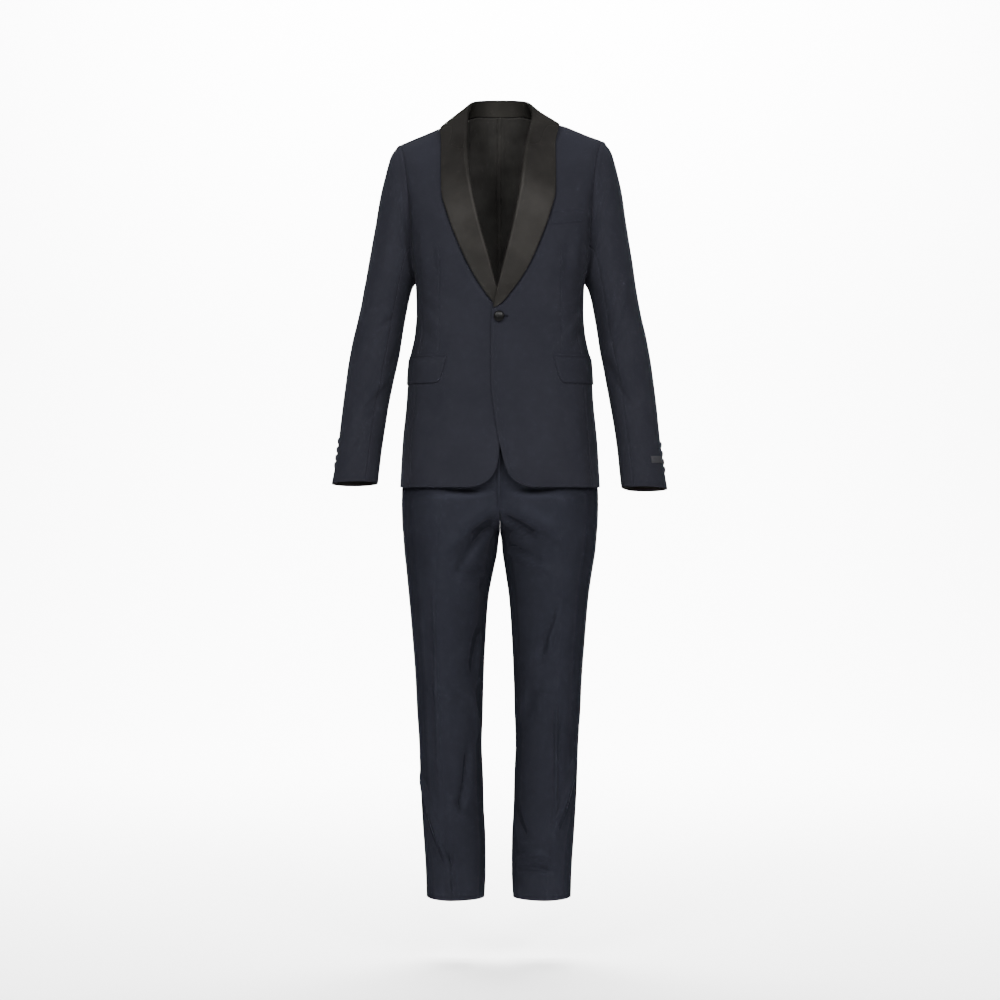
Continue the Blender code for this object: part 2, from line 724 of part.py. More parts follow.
def back_grid():
    """The outer points of a back panel, and their normals."""
    rows = []
    for z in PANEL_ROWS:
        near = even_steps(back_run(z, SEAM_GAP / 2, NECK_HALF), NECK_COLUMNS)
        far = even_steps(back_run(z, NECK_HALF, None), SHOULDER_COLUMNS, 0, SEAM_GAP / 2)
        rows.append(np.concatenate([near, far[1:]]))
    grid = np.stack(rows)
    grid[-1, :, 1] += SEAM_GAP / 2
    normals = normals_of(grid, np.array([0.3, 1, 0.2]))
    share_edge_normals(grid, True)(normals)
    return grid, normals / np.linalg.norm(normals, axis=2, keepdims=True)


def jacket_back(name, side):
    grid, normals = back_grid()
    wall("jacket_back_" + name, grid, grid - normals * SUITING, wool, side)


def jacket_side(name, side):
    columns, seams = [], []
    for place, degrees in enumerate(SIDE_BODY_TOPS):
        top = armhole_z(degrees)
        stretch = (top - BLEND_FOOT) / (JUNCTION_Z - BLEND_FOOT)
        upper = [BLEND_FOOT + (z - BLEND_FOOT) * stretch for z in BLEND_ROWS]
        share = place / (len(SIDE_BODY_TOPS) - 1)
        angles = [(z, side_body_angle(z, degrees, share)) for z in LOWER_ROWS + upper]
        columns.append([torso_point(z, np.float64(angle)) for z, angle in angles])
        seams.append([torso_normal(z, angle) for z, angle in angles])
    grid = np.swapaxes(np.array(columns), 0, 1)

    def change(normals):
        normals[:, 0], normals[:, -1] = seams[0], seams[-1]

    step = grid[:, 1] - grid[:, 0]
    grid[:, 0] += step / np.linalg.norm(step, axis=1, keepdims=True) * SEAM_GAP / 2
    step = grid[:, -2] - grid[:, -1]
    grid[:, -1] += step / np.linalg.norm(step, axis=1, keepdims=True) * SEAM_GAP / 2
    cloth("jacket_side_" + name, grid, np.array([1, 0, 0]), SUITING, wool, side, change)


# ---------------------------------------------------------------- sleeves

SLEEVE_STATIONS = [0.02, 0.5, *range(1, CUFF_STATION + 1)]
SLEEVE_HALF_GAP = 0.2  # degrees


def sleeve_centre(side, station):
    return (sleeve_point(side, station, 0) + sleeve_point(side, station, 180)) / 2


def sleeve_panel(name, side, station_angles):
    """A sleeve panel. station_angles gives the list of angles of its columns at a station."""
    rows = []
    for station in SLEEVE_STATIONS:
        rows.append([sleeve_point(side, station, degrees) for degrees in station_angles(station)])
    grid = np.array(rows)
    grid[0, :, 0] += SEAM_GAP / 2
    outward = grid - np.array([sleeve_centre(side, station) for station in SLEEVE_STATIONS])[:, None]

    def change(normals):
        for row, station in enumerate(SLEEVE_STATIONS):
            for column in (0, -1):
                degrees = station_angles(station)[column]
                normals[row, column] = sleeve_normal(side, station, degrees, outward[row, column])
        for column, degrees in enumerate(station_angles(0)):
            shared, weight = armhole_normal(grid[0, column], signed_degrees(degrees) > 0)
            normals[0, column] += (shared - normals[0, column]) * weight

    cloth(name, grid, outward, SUITING, wool, side, change)


def sleeve(name, side):
    top_count = (BACK_SLEEVE_SEAM - FRONT_SLEEVE_SEAM) // ARMHOLE_STEP + 1
    under_count = (360 - BACK_SLEEVE_SEAM + FRONT_SLEEVE_SEAM) // ARMHOLE_STEP + 1

    def top_angles(station):
        front, back = sleeve_seams(station)
        return np.linspace(front + SLEEVE_HALF_GAP, back - SLEEVE_HALF_GAP, top_count)

    def under_angles(station):
        front, back = sleeve_seams(station)
        return np.linspace(back + SLEEVE_HALF_GAP, front + 360 - SLEEVE_HALF_GAP, under_count)

    sleeve_panel("top_sleeve_" + name, side, top_angles)
    sleeve_panel("under_sleeve_" + name, side, under_angles)


def cuff_buttons(name, side):
    for number in range(4):
        z = CUFF_BUTTON_FIRST_Z - number * CUFF_BUTTON_SPACING
        station = 11 + (z - float(SLEEVE.at("outer_z", 11))) / float(
            SLEEVE.at("outer_z", 12) - SLEEVE.at("outer_z", 11)
        )
        degrees = sleeve_seams(station)[1] - CUFF_BUTTON_SEAM_OFFSET
        place = sleeve_point(side, station, degrees)
        normal = place - sleeve_centre(side, station)
        normal[2] = 0
        normal /= np.linalg.norm(normal)
        place = place + normal * LAID_GAP / 2
        mirror = np.array([side, 1, 1])
        radius, height = CUFF_BUTTON_RADIUS, CUFF_BUTTON_HEIGHT
        rim = [(radius - 0.8, height), (radius, height / 2), (radius - 1.2, 0)]
        profile = [(0, height), *rim, (0, 0)]
        button = turned(f"cuff_button_{name}_{number + 1}", profile, 12, button_black)
        stand_on(button, place * mirror, normal * mirror)


def cuff_label():
    """A plain woven patch, laid on the left sleeve just above the cuff."""
    stations = np.linspace(LABEL_TOP, LABEL_BOTTOM, 2)
    angles = np.linspace(LABEL_FRONT_ANGLE, LABEL_BACK_ANGLE, 7)
    grid = np.array([[sleeve_point(LEFT, s, a) for a in angles] for s in stations])
    normals = normals_of(grid, grid - sleeve_centre(LEFT, LABEL_TOP))
    inner = grid + normals * LAID_GAP
    wall("cuff_label", inner + normals * RIBBON, inner, satin)


# ---------------------------------------------------------------- shawl collar

COLLAR_ROWS = 8  # round the neck, before the rows on the front
LAPEL_ROWS = [-25, -50, -75, -103, -130, -150, -170, -193, -215, -240, -265, -283, -300, -313]
LAPEL_ROWS += [-325, -336, -346, -355]
LAPEL_COLUMNS = 5
LAPEL_GAP = 1.2  # between the lapel's flat edge and the front
STAND_END, STAND_QUARTER = 4.0, 4.3  # rows of the collar: the stand's end, and where it faces the side
STAND_TOP_IN, STAND_TOP_DOWN = 3.8, 2.5  # from the roll line
STAND_FOOT_IN, STAND_FOOT_UP = 2.7, 0.4  # from the back's neck edge


def lay_on_body(side, points, clearance):
    """Moves points out until they clear the body, forwards on the chest and back on the yoke."""
    x, y, z = points.T
    low = z - clearance
    below = low < shoulder_line(x)
    chest = np.minimum(y, front_y(side, x, low) - clearance)
    yoke = np.maximum(y, torso_y(x, low, True) + clearance)
    y = np.where(below & (y < SHOULDER_Y), chest, np.where(below & (low < NECK_Z), yoke, y))
    return np.stack([x, y, z], axis=1)


def collar_rows(side):
    """Roll line and outer edge of each row, and its bulge, from the centre back to the button."""
    name = "left" if side == LEFT else "right"
    rows = []
    for place in COLLAR.key:
        read = {key: float(COLLAR.at(key, place)) for key in COLLAR.columns}
        roll = [read["roll_x"], read["roll_y"], read["roll_z"]]
        outer = [read["outer_x"], read["outer_y"], read["outer_z"]]
        rows.append(roll + outer + [read["bulge"], 0])
    for z in LAPEL_ROWS:
        roll_x, outer_x = float(LAPEL.at(name + "_roll", z)), float(LAPEL.at(name + "_outer", z))
        stand_off = float(LAPEL.at("stand_off", z))
        roll = [roll_x, float(front_y(side, roll_x, z)), z]
        outer = [outer_x, float(front_y(side, outer_x, z)), z]
        rows.append(roll + outer + [0, stand_off])
    return np.array(rows)


def collar_grid(side):
    rows = collar_rows(side)
    order = np.arange(len(rows), dtype=float)
    neck = len(COLLAR.key)
    wanted = np.concatenate([np.linspace(0, neck - 1, COLLAR_ROWS), order[neck:]])
    rows = np.stack([join_smoothly(order, column, wanted) for column in rows.T], axis=1)
    across = np.linspace(0, 1, LAPEL_COLUMNS)
    grid = []
    for row in rows:
        roll, outer, bulge, stand_off = row[:3], row[3:6], row[6], row[7]
        points = roll + (outer - roll) * across[:, None]
        away = np.array([roll[0], roll[1], 0]) / max(math.hypot(roll[0], roll[1]), 1)
        points = points + bulge * np.sin(np.pi * across)[:, None] * (away + np.array([0, 0, 0.7]))
        lifted = LAPEL_GAP + LAPEL_CLOTH + stand_off * (1 - across) ** 2
        grid.append(lay_on_body(side, points, lifted))
    return np.array(grid)


def shawl_collar(name, side):
    grid = collar_grid(side)
    grid[0, :, 0] = SEAM_GAP / 2
    front_rows = grid[:, :, 1] < SHOULDER_Y
    outward = np.where(front_rows[..., None], [0.2, -1, 0.3], [0.6, 1, 1])

    def change(normals):
        normals[0, :, 0] = 0

    cloth("shawl_collar_" + name, grid, outward, LAPEL_CLOTH, satin, side, change)


def collar_stand():
    """The standing part of the collar inside the back of the neck, in one piece."""
    half = []
    for place in np.linspace(0, STAND_END, 6):
        roll = np.array([float(COLLAR.at(key, place)) for key in ("roll_x", "roll_y", "roll_z")])
        away = np.array([roll[0], roll[1] - 10, 0]) / math.hypot(roll[0], roll[1] - 10)
        top = roll - away * STAND_TOP_IN - np.array([0, 0, STAND_TOP_DOWN])
        turn = math.pi / 2 * place / STAND_QUARTER
        foot_x = (NECK_HALF - STAND_FOOT_IN) * math.sin(turn)
        foot_y = SHOULDER_Y + (NECK_BACK_Y - STAND_FOOT_IN - SHOULDER_Y) * math.cos(turn)
        foot_z = min(NECK_Z, shoulder_line(foot_x)) + STAND_FOOT_UP
        foot = np.array([foot_x, foot_y, foot_z])
        half.append([top, (top + foot) / 2 - away * 0.8, foot])
    half = np.array(half)
    mirrored = half[:0:-1] * np.array([-1, 1, 1])
    grid = np.concatenate([mirrored, half])
    outward = grid * np.array([1, 1, 0]) - np.array([0, 10, 0])
    cloth("collar_stand", grid, outward, STAND_CLOTH, satin)


def back_lining(name, side):
    """The lining inside the back, with its centre pleat, where it shows through the neck."""
    grid, normals = back_grid()
    shown = np.array(PANEL_ROWS) > LINING_FOOT_Z
    outer = (grid - normals * (SUITING + LINING_GAP))[shown, :-1]
    outer[:, 0, 1] -= PLEAT_DEPTH
    wall("back_lining_" + name, outer, outer - (normals * LINING_CLOTH)[shown, :-1], lining, side)


# ---------------------------------------------------------------- pockets and buttons


def laid_strip(name, grid, outward, thickness, material, side, gap=LAID_GAP):
    """A strip that lies on a panel: its points are the panel's, moved out."""
    normals = normals_of(grid, outward)
    inner = grid + normals * gap
    wall(name, inner + normals * thickness, inner, material, side)


def pocket(name, side):
    angles = np.linspace(FLAP_FRONT_ANGLE, FLAP_BACK_ANGLE, 12)
    outward = np.array([1, -0.8, 0])
    rows = []
    for share in (0, 0.35, 0.7, 0.9, 1):
        inward = FLAP_CORNER * (1 - math.sqrt(1 - share**4))
        z = FLAP_TOP + (FLAP_BOTTOM - FLAP_TOP) * share
        turn = angles.copy()
        turn[0] += inward + FLAP_SLANT * share
        turn[-1] -= inward
        rows.append(torso_point(np.full_like(turn, z), turn).T)
    laid_strip("pocket_flap_" + name, np.array(rows), outward, FLAP_CLOTH, wool, side)
    foot = FLAP_TOP + SEAM_GAP
    jet = [torso_point(np.full_like(angles, z), angles).T for z in (foot + JET_HEIGHT, foot)]
    laid_strip("pocket_jet_" + name, np.array(jet), outward, JET_CLOTH, wool, side)


def breast_welt():
    x = np.linspace(WELT_FRONT_X, WELT_SIDE_X, 5)
    rows = []
    for edge in (WELT_TOP, WELT_BOTTOM):
        z = edge + WELT_RISE * (x - WELT_FRONT_X) / (WELT_SIDE_X - WELT_FRONT_X)
        rows.append(np.stack([x, front_y(LEFT, x, z), z], axis=1))
    laid_strip("breast_welt", np.array(rows), np.array([0, -1, 0]), WELT_CLOTH, wool, LEFT)


def front_button():
    x, z = FRONT_BUTTON_PLACE
    radius, height = FRONT_BUTTON_RADIUS, FRONT_BUTTON_HEIGHT
    dome = [(0, height), (0.45 * radius, 0.93 * height), (0.8 * radius, 0.7 * height)]
    profile = dome + [(radius, 0.3 * height), (0.85 * radius, 0), (0, 0)]
    button = turned("front_button", profile, 20, satin)
    y = float(front_y(LEFT, x, z)) - BUTTON_SHANK
    stand_on(button, (x, y, z), (0, -1, 0))


# ---------------------------------------------------------------- trousers

LEG_ROWS = [WAISTBAND_BOTTOM - 1, -605, -640, -670, -697, -725, -748, -765, -776, CROTCH_Z]
LEG_ROWS += [-792, -806, -828, -860, -916, -979, -1030, -1080, -1135, -1197, -1260, -1322, -1384]
LEG_ROWS += [-1447, TROUSER_HEM]
FLY_ROWS = [-580, -605, -640, -670, -697, -715]
OUTER_LEG_COLUMNS, INNER_LEG_COLUMNS = 5, 6


def leg_row(side, z, back):
    """Points of a half section: the outseam, the stripe's edge, then even steps by the crease."""
    outer_run, inner_run = leg_half_section(side, z, back)
    stripe = even_steps(outer_run, 200, SEAM_GAP / 2)
    first = stripe[0]
    lengths = np.linalg.norm(stripe - first, axis=1)
    beyond = stripe[np.searchsorted(lengths, STRIPE_HALF) :]
    outer = even_steps(beyond, OUTER_LEG_COLUMNS)
    gap = SEAM_GAP / 2
    inner = even_steps(inner_run, INNER_LEG_COLUMNS, 0, gap)
    row = np.concatenate([[first], outer, inner[1:]])
    row[-1, 0] = max(row[-1, 0], gap)
    return np.column_stack([row, np.full(len(row), z)])


def trouser_panel(name, side, back):
    grid = np.array([leg_row(side, z, back) for z in LEG_ROWS])
    centre = np.array([float(LEG.at("crease_x", -900)), 8, 0])
    outward = (grid - centre) * np.array([1, 1, 0])
    on_centre = grid[:, -1, 2] > CROTCH_Z - 1
    outward[:, -1] = np.where(on_centre[:, None], [0, 1 if back else -1, 0], [-1, 0, 0])

    def change(normals):
        normals[on_centre, -1, 0] = np.minimum(normals[on_centre, -1, 0], 0)
        normals[~on_centre, -1, :2] = -1, 0
        normals[:, 0, :2] = 1, 0

    piece = "trouser_back_" if back else "trouser_front_"
    cloth(piece + name, grid, outward, TROUSER_CLOTH, trouser_wool, side, change)


def side_stripe(name, side):
    rows = []
    for z in LEG_ROWS:
        front, back = leg_row(side, z, False), leg_row(side, z, True)
        seam = (front[0] + back[0]) / 2
        rows.append([front[1], seam, back[1]])
    outward = np.array([1, 0, 0])
    laid_strip("side_stripe_" + name, np.array(rows), outward, RIBBON, satin, side, SEAM_GAP)


def waistband(name, side):
    rows = []
    for z in (WAISTBAND_TOP, WAISTBAND_BOTTOM):
        front, back = leg_row(side, z, False), leg_row(side, z, True)
        seam = (front[:1] + back[:1]) / 2
        row = np.concatenate([front[:0:-1], seam, back[1:]])
        row[:, 2] = z
        rows.append(row)
    grid = np.array(rows)
    outward = grid * np.array([1, 1, 0])

    def change(normals):
        normals[:, 0, 0] = 0
        normals[:, -1, 0] = 0

    cloth("waistband_" + name, grid, outward, WAISTBAND_CLOTH, trouser_wool, side, change)


def inner_fly(name, half_width, depth, thickness, material):
    """A strip behind the front opening of the trousers, between the waistband and the fork."""
    rows = []
    for z in FLY_ROWS:
        x = np.linspace(-half_width, half_width, 4)
        y = [leg_front_y(value, z) + depth for value in x]
        rows.append(np.column_stack([x, y, np.full(4, z)]))
    cloth(name, np.array(rows), np.array([0, -1, 0]), thickness, material)


def leg_front_y(x, z):
    side = LEFT if x > 0 else RIGHT
    inner_run = leg_half_section(side, z, False)[1][::-1]
    return float(np.interp(abs(x), inner_run[:, 0], inner_run[:, 1]))


# ---------------------------------------------------------------- materials and assembly


def material_of(name, colour, roughness, sheen=0.0):
    material = bpy.data.materials.new(name)
    material.use_nodes = True
    shader = material.node_tree.nodes["Principled BSDF"]
    shader.inputs["Base Color"].default_value = (*colour, 1)
    shader.inputs["Roughness"].default_value = roughness
    shader.inputs["Metallic"].default_value = 0.0
    shader.inputs["Sheen Weight"].default_value = sheen
    return material


for old in list(bpy.data.objects):
    bpy.data.objects.remove(old)

collection = bpy.data.collections.new("tuxedo")
bpy.context.scene.collection.children.link(collection)

wool = material_of("navy_wool", (0.024, 0.027, 0.036), 0.85, 0.2)
trouser_wool = material_of("trouser_wool", (0.024, 0.027, 0.038), 0.8, 0.2)
satin = material_of("black_satin", (0.030, 0.028, 0.026), 0.35)
lining = material_of("black_lining", (0.010, 0.010, 0.010), 0.5)
button_black = material_of("black_button", (0.012, 0.012, 0.013), 0.3)

for side_name, side_sign in SIDES.items():
    jacket_front(side_name, side_sign)
    jacket_side(side_name, side_sign)
    jacket_back(side_name, side_sign)
    back_lining(side_name, side_sign)
    sleeve(side_name, side_sign)
    cuff_buttons(side_name, side_sign)
    shawl_collar(side_name, side_sign)
    pocket(side_name, side_sign)
    trouser_panel(side_name, side_sign, False)
    trouser_panel(side_name, side_sign, True)
    side_stripe(side_name, side_sign)
    waistband(side_name, side_sign)
collar_stand()
breast_welt()
front_button()
cuff_label()
inner_fly("fly_shield", 20.0, 3.6, 1.2, trouser_wool)
inner_fly("fly_zip", 12.0, 2.1, 1.0, button_black)
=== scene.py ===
"""Dresses the tuxedo: fine cloth panels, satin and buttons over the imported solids.

The forms are those of the solids, in millimetres, sampled far finer. Each panel is one skin whose
thickness comes from Solidify, with its lining on the inner face. Folds are soft ridges and troughs
along lines on a form, and seams are shallow grooves where two panels meet.
"""

import math

import bpy
import numpy as np
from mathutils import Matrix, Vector, noise


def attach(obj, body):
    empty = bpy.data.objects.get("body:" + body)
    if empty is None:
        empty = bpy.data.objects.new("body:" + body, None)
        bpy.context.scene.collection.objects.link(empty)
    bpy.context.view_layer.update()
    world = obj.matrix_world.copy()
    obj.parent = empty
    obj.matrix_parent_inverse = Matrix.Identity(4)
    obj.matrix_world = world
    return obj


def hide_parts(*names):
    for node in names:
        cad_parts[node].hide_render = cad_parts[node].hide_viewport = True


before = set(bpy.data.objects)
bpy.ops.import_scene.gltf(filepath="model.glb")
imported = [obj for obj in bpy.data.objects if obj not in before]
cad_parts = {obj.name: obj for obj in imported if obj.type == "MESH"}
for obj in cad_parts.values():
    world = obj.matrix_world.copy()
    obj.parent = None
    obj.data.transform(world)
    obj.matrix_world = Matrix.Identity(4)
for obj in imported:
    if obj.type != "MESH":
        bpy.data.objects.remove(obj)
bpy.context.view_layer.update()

MM = 0.001
LEFT, RIGHT = 1, -1  # the wearer's sides, as the sign of X
SIDES = {"left": LEFT, "right": RIGHT}
SIDE_NAMES = {side: name for name, side in SIDES.items()}

# Cloth
SUITING = 1.8
TROUSER_CLOTH = 1.4
LAPEL_CLOTH = 2.2
STAND_CLOTH = 1.6
WAISTBAND_CLOTH = 2.4
LINING_CLOTH = 1.0
LINING_GAP = 0.6
LINING_FOOT_Z = -420.0
PLEAT_DEPTH = 3.5
LINING_PLEAT_WIDTH, LINING_PLEAT_LAP, LINING_PLEAT_LIFT = 16.0, 5.0, 1.4
FLAP_CLOTH, JET_CLOTH, WELT_CLOTH = 1.8, 1.0, 0.8
RIBBON = 1.0
SEAM_GAP = 0.1
LAID_GAP = 0.8
JET_GAP, WELT_GAP, LABEL_GAP = 0.3, 0.1, 0.2
LAPEL_GAP = 1.2

# Jacket
JACKET_HEM = -697.0
UNDERARM_Z = -300.0
WAIST_BLEND_Z = -420.0
SHOULDER_X, SHOULDER_Y, SHOULDER_Z = 196.0, 13.0, -28.0
SHOULDER_SLOPE = 0.42
YOKE_Z = -130.0
NECK_HALF, NECK_BACK_Y, NECK_Z = 74.0, 74.0, 35.0
ROUNDNESS = 2.4
SHOULDER_CURVE = 0.78
JUNCTION = 140
FRONT_SEAM_ANGLE, BACK_SEAM_ANGLE = 62.0, 60.0

DART_X, DART_TOP_Z, DART_FOOT_Z = 117.0, -226.0, -446.0  # front dart, from the chest to the pocket
LAPEL_GROOVE_TOP_Z = -90.0
LAPEL_MARGIN = 8.0  # least run from the lapel's edge to a front's edge or dart
FRONT_LIFT, FRONT_LIFT_WIDTH, FRONT_LIFT_FADE = 2.2, 14.0, 20.0
VALLEY_DEPTH, VALLEY_WIDTH, VALLEY_REACH = 16.0, 9.0, 90.0  # where the lower sleeve meets the body
VALLEY_TOP_Z, VALLEY_FADE, VALLEY_FOOT = -90.0, 150.0, 60.0

# Trousers
WAISTBAND_TOP, WAISTBAND_BOTTOM = -533.0, -570.0
CROTCH_Z = -783.0
TROUSER_HEM = -1496.0
CREASE_RIDGE = 4.0
LEG_CURVE_SAMPLES = 60
QUARTER = 0.56  # length of a handle that bends a curve through a quarter turn
STRIPE_HALF = 11.0

FLY_LAP, FLY_LIFT = 5.0, 1.6
FLY_FULL_Z, FLY_FOOT_Z = -735.0, -766.0
FLY_RISE = 12.0  # over which the left front lifts off the right one

# Buttons
FRONT_BUTTON_PLACE = (-1.9, -371.0)
FRONT_BUTTON_RADIUS, FRONT_BUTTON_HEIGHT = 10.0, 5.0
BUTTON_SHANK = 1.8
CUFF_BUTTON_RADIUS, CUFF_BUTTON_HEIGHT = 7.4, 3.4
CUFF_BUTTON_PROFILE = (  # dish, rim and base, as shares of the radius and the height
    (0, 0.72), (0.42, 0.72), (0.62, 0.86), (0.78, 1), (0.92, 0.92), (1, 0.6), (0.97, 0.35), (0.84, 0), (0, 0),
)
CUFF_THREAD_RISE = 0.76  # where the threads cross the dish, as a share of the height
CUFF_BUTTONS, CUFF_BUTTON_SPACING = 4, 15.8
CUFF_BUTTON_FIRST_Z = -606.0
CUFF_BUTTON_SEAM_OFFSET = 21.0
BUTTON_HOLES, BUTTON_THREAD = 1.2, 0.8

# Stitches
HOLE_START, HOLE_REACH, HOLE_SPACING = 2.0, 17.0, 0.85  # from the button's middle, and between whips
HOLE_SLIT, HOLE_WHIP, HOLE_LEAN = 0.25, 2.3, 0.2  # where a whip starts and ends beside the slit
HOLE_THREAD, HOLE_RAISE = 0.8, 0.5
FLY_STITCH, FLY_STITCH_GAP, FLY_THREAD = 2.4, 0.9, 0.6
FLY_STITCH_X, FLY_CURVE_Z, FLY_STITCH_DROP, FLY_STITCH_RAISE = 36.0, -738.0, 34.0, 0.15

# Outward directions that only have to point to the right side of a panel
FORWARD, SIDEWAYS = np.array([0.0, -1.0, 0.0]), np.array([1.0, 0.0, 0.0])
FRONT_OUTWARD, BACK_OUTWARD = np.array([0.3, -1.0, 0.2]), np.array([0.3, 1.0, 0.2])

# Unevenness of worn cloth: height and distance between crests. Each garment has its own seed.
SLOW_UNEVEN, SMALL_UNEVEN = (1.1, 95.0), (0.35, 34.0)
JACKET_SEED, SLEEVE_SEED, TROUSER_SEED = 3.7, 9.1, 5.3

# How a panel dips at its edges: how far, and over what width
SEWN = (0.9, 2.2)
SLEEVE_SEAM = (0.5, 2.0)
FREE = (0.5, 1.6)
LEVEL = (0.0, 1.0)
SEWN_ABOVE_AND_BESIDE = {"first_column": SEWN, "last_column": SEWN, "last_row": LEVEL}
# Grooves: depth, width, and over what height they fade at the top and the foot
DART = (0.4, 1.4, 30.0, 8.0)
LAPEL_GROOVE = (4.5, 2.8, 90.0, 12.0)


def smooth_step(t):
    t = np.clip(t, 0, 1)
    return t * t * (3 - 2 * t)


def join_smoothly(xs, ys, x):
    """A smooth curve through the points that never swings past them."""
    step = np.diff(xs)
    slope = np.diff(ys) / step
    before, after = slope[:-1], slope[1:]
    same_way = before * after > 0
    mean = np.where(same_way, 2 * before * after / np.where(same_way, before + after, 1), 0)
    tangent = np.concatenate([slope[:1], mean, slope[-1:]])
    x = np.clip(x, xs[0], xs[-1])
    i = np.clip(np.searchsorted(xs, x, side="right") - 1, 0, len(step) - 1)
    t = (x - xs[i]) / step[i]
    ends = ys[i] * (1 + 2 * t) * (1 - t) ** 2 + ys[i + 1] * (3 - 2 * t) * t**2
    return ends + step[i] * (tangent[i] * t * (1 - t) ** 2 - tangent[i + 1] * t**2 * (1 - t))


class Table:
    """Named columns against the first one, read at any height between the rows."""

    def __init__(self, names, *rows):
        columns = np.array(sorted(rows), float).T
        self.key = columns[0]
        self.columns = dict(zip(names.split()[1:], columns[1:]))

    def at(self, name, key):
        return join_smoothly(self.key, self.columns[name], np.asarray(key, float))

    def row(self, key):
        return {name: self.at(name, key) for name in self.columns}


class Folds:
    """Soft ridges, or troughs if minus, along lines on a form's own two measures.

    A line runs from one point to another and bends sideways by bend at its middle. Its flank on
    the bend's side is wider by skew, and it dies away over the last third at each end.
    """

    NAMES = ("from_u", "from_v", "to_u", "to_v", "bend", "half_width", "skew", "height")

    def __init__(self, scales, *rows):
        self.scales = scales  # millimetres to one unit of each measure
        self.rows = [dict(zip(self.NAMES, row)) for row in rows]

    def height(self, u, v):
        total = np.zeros(np.broadcast(u, v).shape)
        for fold in self.rows:
            run_u = (fold["to_u"] - fold["from_u"]) * self.scales[0]
            run_v = (fold["to_v"] - fold["from_v"]) * self.scales[1]
            length = math.hypot(run_u, run_v)
            du = (u - fold["from_u"]) * self.scales[0]
            dv = (v - fold["from_v"]) * self.scales[1]
            along = (du * run_u + dv * run_v) / length**2
            bow = fold["bend"] * 4 * np.clip(along * (1 - along), 0, 1)
            aside = (dv * run_u - du * run_v) / length - bow
            taper = smooth_step((along + 0.1) / 0.38) * smooth_step((1.1 - along) / 0.38)
            width = fold["half_width"] * (1 + fold["skew"] * np.tanh(aside / fold["half_width"] * 3))
            total += fold["height"] * taper * np.exp(-1.7 * (aside / width) ** 2)
        return total


TORSO = Table(
    "z half_width front_y back_y side_y",
    (60, 208, -100, 100, 13),
    (-28, 207, -116, 110, 12),
    (-110, 199, -121, 122, 10),
    (-155, 194, -124, 127, 9),
    (-195, 188, -127, 128, 8),
    (-235, 181, -128, 126, 8),
    (-270, 173, -127, 122, 8),
    (-300, 165, -124, 116, 8),
    (-355, 163, -114, 101, 5),
    (-400, 166.5, -111, 100, 4),
    (-449, 176.5, -111, 107, 5),
    (-542, 183.5, -114, 124, 8),
    (-605, 190, -118, 133, 10),
    (-697, 195.5, -122, 138, 10),
)

# How far below the shoulder seam the chest and the back reach their full depth
SHOULDER_FALL = Table(
    "x front back",
    (0, 190, 150),
    (110, 190, 150),
    (190, 100, 90),
    (210, 95, 85),
)

ARMHOLE = Table(
    "z front_x back_x",
    (-28, 196, 196),
    (-45, 190.5, 191),
    (-70, 185, 186),
    (-110, 180, 180),
    (-155, 176.5, 177),
    (-195, 174, 175),
    (-235, 171, 172),
    (-270, 168, 169),
    (-290, 166, 166.3),
    (-300, 165, 165),
)

# Free edge of each front, as a distance from the centre towards the wearer's own side
FRONT_EDGE = Table(
    "z left right",
    (22, 74, 74),
    (0, 68, 72),
    (-25, 58, 69),
    (-75, 48, 64),
    (-130, 40, 56),
    (-170, 32, 47),
    (-215, 22, 36),
    (-265, 9.5, 21.5),
    (-300, 1, 13),
    (-325, -5, 5),
    (-345, -10, -8),
    (-362, -15, -15),
    (-388, -17, -17),
    (-493, -17, -17),
    (-550, -11.4, -8),
    (-598, -3.8, 0),
    (-626, 2, 1.5),
    (-655, 9.5, 5.5),
    (-678, 21, 17),
    (-691, 38, 34),
    (-697, 57, 57),
)

# The left front stands off the right one where it laps it
LEFT_LIFT = Table(
    "z lift",
    (-235, 0),
    (-275, 1.5),
    (-305, 4.5),
    (-318, 6.2),
    (-356, 6.2),
    (-375, 3.6),
    (-410, 2.8),
    (-590, 2.8),
    (-650, 1.0),
    (-697, 0.8),
)
LAP_FULL_X, LAP_GONE_X = 12.0, 60.0

# Shawl lapel on the fronts: roll line and outer edge, from the centre towards the wearer's own side
LAPEL = Table(
    "z left_roll left_outer right_roll right_outer stand_off",
    (-25, 51.7, 107.2, 66, 114.7, 6),
    (-75, 45.5, 107.5, 62.5, 114, 6),
    (-130, 37.5, 107, 54, 112.7, 5.5),
    (-170, 29.5, 97, 45, 102.5, 5),
    (-215, 20, 81, 34, 86.5, 4.5),
    (-265, 7.5, 59.5, 19.5, 64.5, 3.5),
    (-300, -1, 39.5, 11, 45, 2),
    (-325, -7, 21, 3, 28.5, 0.5),
    (-345, -11.5, 4, -2, 13, 0),
    (-355, -13.5, -9.5, 2, 7, 0),
)
LAPEL_TIP_Z = -355.0

# The same strip round the neck, from the centre back to the front of the shoulder
COLLAR = Table(
    "row roll_x roll_y roll_z outer_x outer_y outer_z bulge",
    (0, 0, 82, 71.5, 0, 98, 23, 2),
    (1, 27, 79, 71, 44, 96, 22, 2.5),
    (2, 46, 67, 68.5, 80, 83, 18, 2.5),
    (3, 58, 46, 61.5, 103.5, 54, 11, 2.5),
    (4, 63, 20, 46, 116, 16, 8.3, 3),
    (5, 63, -4, 23, 117, -16, 3, 2),
)
STAND_END, STAND_QUARTER = 4.0, 4.3
STAND_TOP_IN, STAND_TOP_DOWN = 3.8, 2.5
STAND_FOOT_IN, STAND_FOOT_UP = 2.7, -1.5
STAND_CENTRE_Y, STAND_HOLLOW = 10.0, 0.8
STAND_ROWS, STAND_COLUMNS = 40, 14

